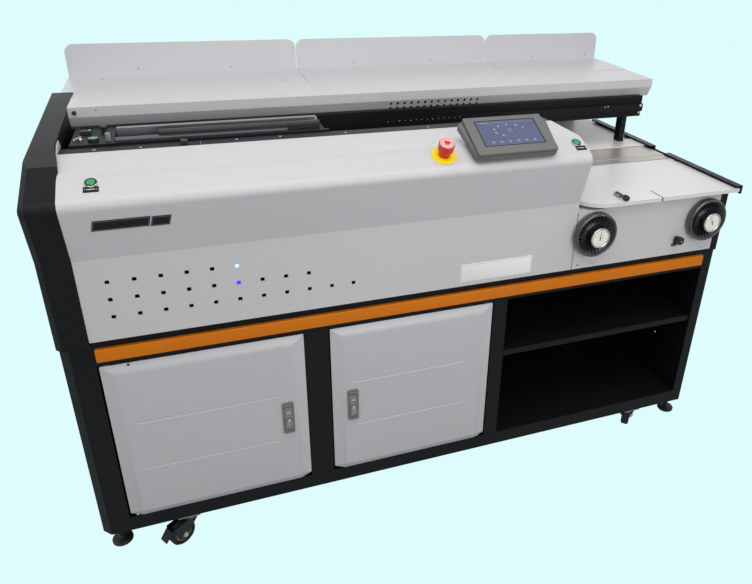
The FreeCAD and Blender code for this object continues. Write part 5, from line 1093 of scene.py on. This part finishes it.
# %% Sheet screws
table_spots = ((1932, 250, 840), (1934, 554, 845.5), (1440, 250, 840))
screws("table_screws", [surface(place, up=LEVEL) for place in table_spots],
       zinc_plate, radius=3.6, height=0.5)
face_spots = ((227.5, 1105.5), (519.3, 1101.9), (948, 1103), (1240, 1103), (1669, 1103),
              (1912, 1103))
screws("plate_face_screws", [surface((along, 863, high)) for along, high in face_spots],
       zinc_plate, radius=3.2, height=1.2)
screws("side_cover_screws", [
    surface((0.4, deep, high), right=(0, -1, 0)) for deep, high in
    ((120, 640), (420, 640), (740, 640), (120, 1010), (420, 1036), (740, 1036))],
    zinc_plate, radius=3.4, height=0.4)
screws("end_cover_screws", [
    surface((1959.6, deep, high), right=(0, 1, 0)) for deep, high in
    ((60, 640), (430, 640), (820, 640), (60, 806), (430, 806), (820, 806))],
    zinc_plate, radius=3.4, height=0.4)
screws("back_sheet_screws", [
    surface((along, 867.6, high), right=(-1, 0, 0)) for high in (60, 300, 540)
    for along in (90, 500, 980, 1460, 1890)], zinc_plate, radius=3.6, height=0.3)
screws("upper_back_screws", [
    surface((along, 865, high), right=(-1, 0, 0)) for high in (642, 1034)
    for along in (80, 500, 980, 1460, 1890)], zinc_plate, radius=3.6, height=1.2)

# %% [markdown]
# ## Shelf knob and lay stop
# At the left end of the shelf's apron is a little black pull knob, with a rivet hole beside it;
# the hole is a flat black disc of painted shade.
# The front lay stop is a bronze rod with a knurled black knob: knurling is a ring of fine grooves
# that are pressed in so that fingers don't slip, and it is drawn here as real grooves.

# %% Shelf knob and lay stop
bronze = brushed_metal("turned_bronze", "#8A6A46", 0.34, 1.0, 1)
turned("apron_pull_knob", [(2.4, 0), (2.4, 3.0), (5.2, 4.2), (5.8, 6.5), (4.9, 8.8), (2.6, 9.8),
                           (0, 10.0)], surface((70.4, 476, 1063.6)), black_abs, steps=32)
# Painted shade: a flat black disc for the dark inside of the rivet hole.
turned("apron_rivet_hole", [(2.0, 0.05), (0, 0.05)], surface((123.8, 476, 1066.8)), black_abs,
       steps=20)


def knurled(form, radius, low, high, teeth):
    """A short cylinder with fine grooves all round."""
    outline = []
    for number in range(teeth):
        for share, reach in ((0.0, radius - 0.35), (0.35, radius), (0.65, radius)):
            angle = 2 * math.pi * (number + share) / teeth
            outline.append((reach * math.cos(angle), reach * math.sin(angle)))
    extruded(form, outline, low, high)


lay_place = surface((1535, 0, 848.5))
turned("lay_stop_rod", [(3.5, -24.2), (3.8, -23.6), (3.8, 18.8), (5.2, 19.2), (5.2, 20.0),
                        (3.5, 20.0)], lay_place, bronze, "lay_stop", steps=32)
grip = bmesh.new()
knurled(grip, 8.5, 20.2, 31.8, 36)
lathed(grip, [(8.1, 31.8), (7.4, 33.4), (4.0, 33.8), (0, 33.8)], 36)
lathed(grip, [(5.0, 19.0), (8.1, 20.3)], 36)
piece("lay_stop_grip", grip, lay_place, black_abs, "lay_stop")
print("knob and stop:", made("apron_") + made("lay_stop_"))

# %% [markdown]
# ## The channel's screws
# A long black channel runs in front of the clamp. One brass and six steel screws hold it, a small
# black block stands on it, and a fine bright line shows where two lengths of it meet.

# %% Channel screws and stop block
screws("channel_brass_screws", [surface((134, 213.8, COVER_TOP), up=LEVEL)], brass, radius=5.0,
       height=2.4)
screws("channel_steel_screws", [
    surface((along, deep, COVER_TOP), up=LEVEL) for along, deep in
    ((239.5, 210.3), (471.6, 223), (583.9, 223.3), (760, 216), (1000, 216), (1240, 216))],
    zinc_plate, radius=4.0, height=2.0)
cut("channel_stop_block", rounded(17, 18, 1.0), (0.1, 9.0),
    surface((342, 222, COVER_TOP), up=LEVEL), black_abs, bevel=0.8)
cut("channel_joint_line", rounded(1.0, 46, 0.3), (0.02, 0.25),
    surface((381.4, 216, COVER_TOP), up=LEVEL), zinc_plate)
print("channel:", made("channel_"))

# %% [markdown]
# ## The clamp's pressure knob
# The end of the clamp is crowded, and it is where an operator looks. A knurled knob with a green
# and white scale sets the pressure. The scale is printed, so its marks are thin flat shapes.

# %% Pressure knob
PRINT = (8.2, 8.3)
green_print = moulded("green_scale_print", "#5FC79A", 0.45, 2.0, 0.01)
scale_place = surface((128.6, 279, CARRIAGE_TOP), up=LEVEL)
scale = bmesh.new()
knurled(scale, 13.0, 0.1, 7.0, 40)
lathed(scale, [(12.4, 7.0), (11.2, 8.2), (0, 8.2)], 40)
piece("pressure_knob", scale, scale_place, black_abs, "clamp")
marks = bmesh.new()
for number in range(16):
    extruded(marks, [(7.0, -0.9), (11.0, -1.3), (11.0, 1.3), (7.0, 0.9)], *PRINT,
             turn=number * 22.5)
extruded(marks, regular(24, 3.2), *PRINT)
piece("pressure_knob_scale", marks, scale_place, green_print, "clamp")
white_marks = bmesh.new()
for number in range(8):
    extruded(white_marks, [(3.8, -0.7), (6.4, -0.9), (6.4, 0.9), (3.8, 0.7)], *PRINT,
             turn=number * 45)
piece("pressure_knob_marks", white_marks, scale_place, engraving_white, "clamp")
print("pressure knob:", made("pressure_knob"))

# %% [markdown]
# ## The clamp's other fittings
# Beside the pressure knob sit a smooth black knob, a black block with a screw, an aluminium stand
# and a small bright lever. Two nuts stand on the jaw, and a bright cap closes the rear jaw's end.

# %% Knob, blocks, lever and nuts
turned("clamp_black_knob", [(5.0, 0.1), (5.0, 7.0), (9.4, 8.2), (10.4, 10.4), (10.4, 14.0),
                            (9.2, 16.0), (4.5, 17.0), (0, 17.2)],
       surface((147, 362, CARRIAGE_TOP), up=LEVEL), black_abs, "clamp", steps=40)
cut("clamp_guide_block", rounded(26, 15, 1.0), (0.1, 9.0),
    surface((106, 349, CARRIAGE_TOP), up=LEVEL), black_abs, "clamp", bevel=0.6)
screws("clamp_block_screw", [surface((115, 352, 1045), up=LEVEL)], bright_zinc, "clamp", 2.8, 1.4)
cut("clamp_end_stand", rounded(12, 13, 0.8), (0.1, 20.0),
    surface((164, 272, CARRIAGE_TOP), up=LEVEL), jaw_metal, "clamp", bevel=0.6)
lever = bmesh.new()
extruded(lever, rounded(3.4, 34, 1.6), 3.0, 6.4, 1.0, turn=-28)
lathed(lever, [(4.6, 0.1), (4.6, 7.0), (3.6, 8.0), (0, 8.2)], 24, (8, -14, 0))
piece("clamp_lock_lever", lever, surface((92, 292, CARRIAGE_TOP), up=LEVEL), bright_zinc,
      "clamp")
cut("rear_jaw_end_cap", rounded(15.5, 178, 1.0), (0.05, 1.6),
    surface((702, 343.5, 960), right=(0, 1, 0)), bright_zinc, "clamp", bevel=0.3)
for number, along in enumerate((230, 560)):
    nut = bmesh.new()
    extruded(nut, regular(6, 8.6, 30), 0.1, 5.2, 0.6)
    lathed(nut, [(3.0, 5.0), (3.0, 7.4), (2.4, 8.0), (0, 8.0)], 20)
    piece(f"jaw_pin_nut_{number}", nut, surface((along, 412, 1020), up=LEVEL), zinc_plate, "clamp")
print("clamp fittings:", made("clamp_") + made("jaw_pin"))

# %% [markdown]
# ## Castors
# The castors are bought parts: a pressed black fork with a ball race, a bright axle bolt with its
# nut, and a rubber tyre on a nylon wheel with a yellow passivated band round its hub. Each piece is
# built about the castor's own swivel, and so the same lines serve every castor, whichever way it
# is turned.

# %% Castor fittings
yellow_zinc = plated_metal("yellow_passivated_zinc", "#B89A4A", 0.34, 10, 0.15)
wheel_nylon = moulded("dark_nylon_wheel", "#303032", 0.45, 2.0, 0.04)
castor_turns = {
    "front_left": (225, 30, 212.7, "castor_front_left", "castor_wheel_fl"),
    "front_right": (1735, 30, 45.0, "castor_front_right", "castor_wheel_fr"),
    "rear_left": (225, 838, 0.0, "cabinet", "castor_wheel_rl"),
    "rear_right": (1735, 838, 0.0, "cabinet", "castor_wheel_rr")}
AXLE_ALONG, AXLE_DROP, CHEEK = 32, -62.5, 19
HUB_FACE = 9.3
for side, (along, deep, turn, fork_body, tyre_body) in castor_turns.items():
    swivel = Matrix.Translation(spot(along, deep, 0)) @ Matrix.Rotation(
        math.radians(turn), 4, "Z")
    turned(f"castor_race_{side}", [(26.1, -19.6), (26.7, -18.8), (26.7, -15.0), (26.1, -14.2)],
           swivel, castor_black, fork_body)
    bolts = bmesh.new()
    for out in (1, -1):
        axle = Matrix.Translation((AXLE_ALONG, CHEEK * out, AXLE_DROP)) @ Matrix.Rotation(
            -out * math.pi / 2, 4, "X")
        single = bmesh.new()
        extruded(single, regular(6, 6.6), 0.0, 3.6, 0.5)
        lathed(single, [(3.2, 3.5), (3.2, 5.0), (2.6, 5.6), (0, 5.6)], 20)
        lathed(single, [(8.0, -0.9), (8.0, 0.1), (0, 0.1)], 32)
        single.transform(axle)
        merge(bolts, single)
    piece(f"castor_axle_bolt_{side}", bolts, swivel, bright_zinc, fork_body)
    disc = bmesh.new()
    lathed(disc, [(12.6, 8.6), (13.4, HUB_FACE), (26.4, HUB_FACE), (27.6, 8.6)], 48)
    lathed(disc, [(27.6, -8.6), (26.4, -HUB_FACE), (13.4, -HUB_FACE), (12.6, -8.6)], 48)
    band = bmesh.new()
    for level in (HUB_FACE, -HUB_FACE):
        out = math.copysign(0.9, level)
        lathed(band, [(21.0, level), (21.2, level + out), (23.6, level + out), (23.8, level)], 48)
    spoke = [(13.5, -1.0), (26.0, -1.3), (26.0, 1.3), (13.5, 1.0)]
    for spoke_turn in range(0, 360, 45):
        for low, high in ((9.2, 10.2), (-10.2, -9.2)):
            extruded(disc, spoke, low, high, turn=spoke_turn)
    axis = swivel @ Matrix.Translation((AXLE_ALONG * MM, 0, AXLE_DROP * MM)) @ Matrix.Rotation(
        math.pi / 2, 4, "X")
    piece(f"castor_hub_{side}", disc, axis, wheel_nylon, tyre_body)
    piece(f"castor_band_{side}", band, axis, yellow_zinc, tyre_body)
print("castor hubs:", made("castor_hub"))

# %% [markdown]
# ## The doors
# Each door is a shallow pan, pressed from one sheet: wide bevels run round a flat face, the
# lower corners are clipped where the sheet was notched, and two long creases, pressed inward, keep
# the face from drumming. The frame's door is a pan with plain corners, whose creases stand out.
# The pressed one is built here as rings of corners, from the inner rim over the soft bevel to the
# face. The creases are holes in that face, filled with a shallow valley, and the door stands in for
# the plain one. A small catch hole in the left door's upper bevel is a flat black disc of painted
# shade.

# %% Pressed doors
DOOR_BOTTOM, DOOR_TOP = 50, 550
FACE_LEVEL, VALLEY_LEVEL = 15.0, 13.6
CREASE_HIGHS = (370, 218)
EAR_BOTTOMS = (67, 519)


def clipped(low, high, bottom, top, wide, tall):
    """Rectangle whose two lower corners are cut off, from the lower left corner round."""
    return [(low + wide, bottom), (high - wide, bottom), (high, bottom + tall), (high, top - 1),
            (high - 1, top), (low + 1, top), (low, top - 1), (low, bottom + tall)]


def pressed_door(side, low, high, node, crease_low, crease_high):
    """One door pan; each ring is its inset, its rise, its clip's width and height, its level."""
    rings = [(2, 2, 30, 15, 0.6), (0, 0, 30, 15, 0.6), (0, 0, 30, 15, 2.4),
             (22, 15.4, 12, 7, 10.9), (27, 18.9, 9, 6, 12.8), (31, 21.7, 7, 5, 14.0),
             (35, 24.5, 6, 4.5, 14.75), (39, 27.3, 5, 4, FACE_LEVEL)]
    pan = bmesh.new()

    def ring(inset, rise, wide, tall, level):
        outline = clipped(low + inset, high - inset, DOOR_BOTTOM + rise, DOOR_TOP - rise,
                          wide, tall)
        return [pan.verts.new((x, y, level)) for x, y in outline]

    def band(lower, upper):
        for n in range(len(lower)):
            m = (n + 1) % len(lower)
            pan.faces.new((lower[n], lower[m], upper[m], upper[n]))

    loops = [ring(*numbers) for numbers in rings]
    for lower, upper in zip(loops, loops[1:]):
        band(lower, upper)
    hollow = ring(34, 23.8, 6, 4.5, 12.6)
    band(hollow, loops[0])
    pan.faces.new(list(reversed(hollow)))
    face_edges = [pan.edges.get((loops[-1][n], loops[-1][(n + 1) % 8])) for n in range(8)]
    for middle in CREASE_HIGHS:
        spots = [(crease_low - 8, 0), (crease_low, -2.7), (crease_high, -2.7),
                 (crease_high + 8, 0), (crease_high, 2.7), (crease_low, 2.7)]
        rim = [pan.verts.new((x, middle + y, FACE_LEVEL)) for x, y in spots]
        left, right = (pan.verts.new((x, middle, VALLEY_LEVEL))
                       for x in (crease_low, crease_high))
        face_edges += [pan.edges.new((rim[n], rim[(n + 1) % 6])) for n in range(6)]
        for corners in ((rim[0], rim[1], left), (rim[1], rim[2], right, left),
                        (rim[2], rim[3], right), (rim[3], rim[4], right),
                        (rim[4], rim[5], left, right), (rim[5], rim[0], left)):
            pan.faces.new(corners)
    bmesh.ops.triangle_fill(pan, use_beauty=True, edges=face_edges, normal=(0, 0, 1))
    hinge_along = low + 15 if side == "left" else high - 15
    for bottom in EAR_BOTTOMS:
        extruded(pan, [(hinge_along - 7.5, bottom), (hinge_along + 7.5, bottom),
                       (hinge_along + 7.5, bottom + 30), (hinge_along - 7.5, bottom + 30)],
                 -10, 2.0)
    door = piece(f"pressed_door_{side}", pan, surface((0, 0, 0)), door_coat, f"door_{side}",
                 crease=20)
    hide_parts(node)


pressed_door("left", 80.5, 579.5, "left_door", 147, 495)
pressed_door("right", 651.5, 1139.5, "right_door", 716, 1055)
# Painted shade: a flat black disc for the dark inside of the catch hole.
turned("door_catch_hole", [(3.4, -0.3), (3.4, 0.15), (0, 0.15)],
       surface((146, -4.75, 546), up=(0, 8.5, 15.4)), black_abs, "door_left", steps=24)
print("doors:", made("pressed_door"))

# %% [markdown]
# ## The accent strip
# Between deck and base runs an orange strip, folded from thin sheet and painted in gloss. Its
# upper and lower edges are tight folds, and they catch a thin line of light, which a plain box
# edge never does. So the section is drawn with round folds and run along the machine in one go.
# Under the strip a black shadow gap is left open, down to the doors.

# %% Folded accent strip
FOLD_RADIUS = 2.8
FOLD_DEEP = -9.2


def fold(high, start):
    """Points of a round fold in the section, over a quarter turn back from its first angle."""
    return [(FOLD_DEEP + x, high + y) for x, y in arc(FOLD_RADIUS, range(start, start - 91, -18))]


strip_section = ([(0, 603.9), (0, 602.4), (-9.0, 602.4), (-10.4, 601.0), (-10.4, 571.0),
                  (-9.0, 569.6), (0, 569.6), (0, 568.1)] + fold(570.9, 270) + fold(601.1, 180))
strip = bmesh.new()
ends = [[strip.verts.new((along, high, -deep)) for deep, high in strip_section]
        for along in (80.1, 1889.9)]
for n in range(len(strip_section)):
    m = (n + 1) % len(strip_section)
    strip.faces.new((ends[0][n], ends[0][m], ends[1][m], ends[1][n]))
strip.faces.new(ends[0])
strip.faces.new(ends[1])
folded_strip = piece("accent_strip_folded", strip, surface((0, 0, 0)), orange_coat)
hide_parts("accent_strip")
print("strip folds:", len(strip_section), "points in the section")

# %% [markdown]
# ## A seam and an edge
# Where the front cover ends and the hand-wheel panel begins, two folds meet in a narrow seam,
# and a thin black strip paints the shade in it.
# Along the base tray's front edge, a thin strip of dark metal is a painted highlight, for the line
# of light that the edge catches. Both are only a millimetre or two wide, but they are long, so each
# is a thin strip laid on the frame's sheet.

# %% Seam shade and edge highlight
# Painted shade: a thin black strip in the seam between cover and panel.
cut("cover_seam_shadow", rounded(2.0, 204, 0.6), (0.02, 0.25), on_face(1385, 711), black_abs)
# Painted highlight: a thin dark metal strip for the line of light on the tray's front edge.
cut("tray_edge_bead", rounded(1826, 1.3, 0.4), (0.02, 0.35), surface((989, 0, 47.3)), dark_steel)
print("laid on:", made("cover_seam") + made("tray_edge"))

# %% [markdown]
# ## Door locks
# Each lock is a brushed stainless steel handle in a frame of its own. It is pulled out at its foot,
# and a key cylinder in it keeps it shut. The cylinder is a little bright disc with a dark slot of
# painted shade, and it rides on the handle. The dark line round the frame is painted shade in the
# gap, and it stays on the door.

# %% Lock cylinders
for side, middle in (("left", 523), ("right", 708)):
    face = surface((middle, -21, 294))
    # Painted shade: a thin dark line for the gap round the lock's frame.
    frame_line = bmesh.new()
    for half_wide, half_high, wide, high in ((12.9, 0, 1.0, 96), (-12.9, 0, 1.0, 96),
                                             (0, 48.6, 26.6, 1.0), (0, -48.2, 26.6, 1.0)):
        extruded(frame_line, rounded(wide, high, 0.3), 0.02, 0.2, shift=(half_wide, half_high))
    piece(f"lock_frame_line_{side}", frame_line, face, black_abs, f"door_{side}")
    place = surface((middle, -22.6, 286))
    turned(f"lock_seat_{side}", [(8.4, -1.6), (8.4, 0.5), (0, 0.5)], place, black_abs,
           f"lever_{side}", steps=32)
    turned(f"lock_cylinder_{side}", [(6.6, 0.4), (6.6, 1.6), (5.8, 2.2), (4.8, 2.2), (4.6, 1.8),
                                     (0, 1.8)], place, bright_zinc, f"lever_{side}", steps=32)
    # Painted shade: a dark slot for the key's opening in the cylinder.
    cut(f"lock_keyhole_{side}", rounded(1.4, 6.0, 0.6), (1.8, 1.95), place, black_abs,
        f"lever_{side}")
    tab = bmesh.new()
    extruded(tab, rounded(13, 4.0, 1.0), -0.6, 1.0, 0.4, shift=(0, 27))
    for step in range(4):
        extruded(tab, rounded(11, 1.0, 0.4), -0.6, 0.8, 0.2, shift=(0, -12 - step * 3.0))
    piece(f"lock_tab_{side}", tab, place, bright_zinc, f"lever_{side}")
print("lock cylinders:", made("lock_cylinder"))

# %% [markdown]
# ## The mains inlet
# At the back sits a moulded appliance inlet: two screws, a sunk mouth and three flat pins, the
# middle one set apart for earth. A rocker beside it would need a hole of its own, so there is none.

# %% Mains inlet pins
inlet_place = surface((185, 866, 680), right=(-1, 0, 0))
pins = bmesh.new()
for x, y in ((-7, -2), (7, -2), (0, 4)):
    extruded(pins, rounded(2.0, 4.6, 0.4), 0.1, 1.7, 0.2, shift=(x, y))
piece("inlet_pins", pins, inlet_place, bright_zinc)
screws("inlet_screws", [surface((along, 867.8, 680), right=(-1, 0, 0)) for along in (164, 206)],
       bright_zinc, radius=2.2, height=0.2)
print("inlet:", made("inlet_"))
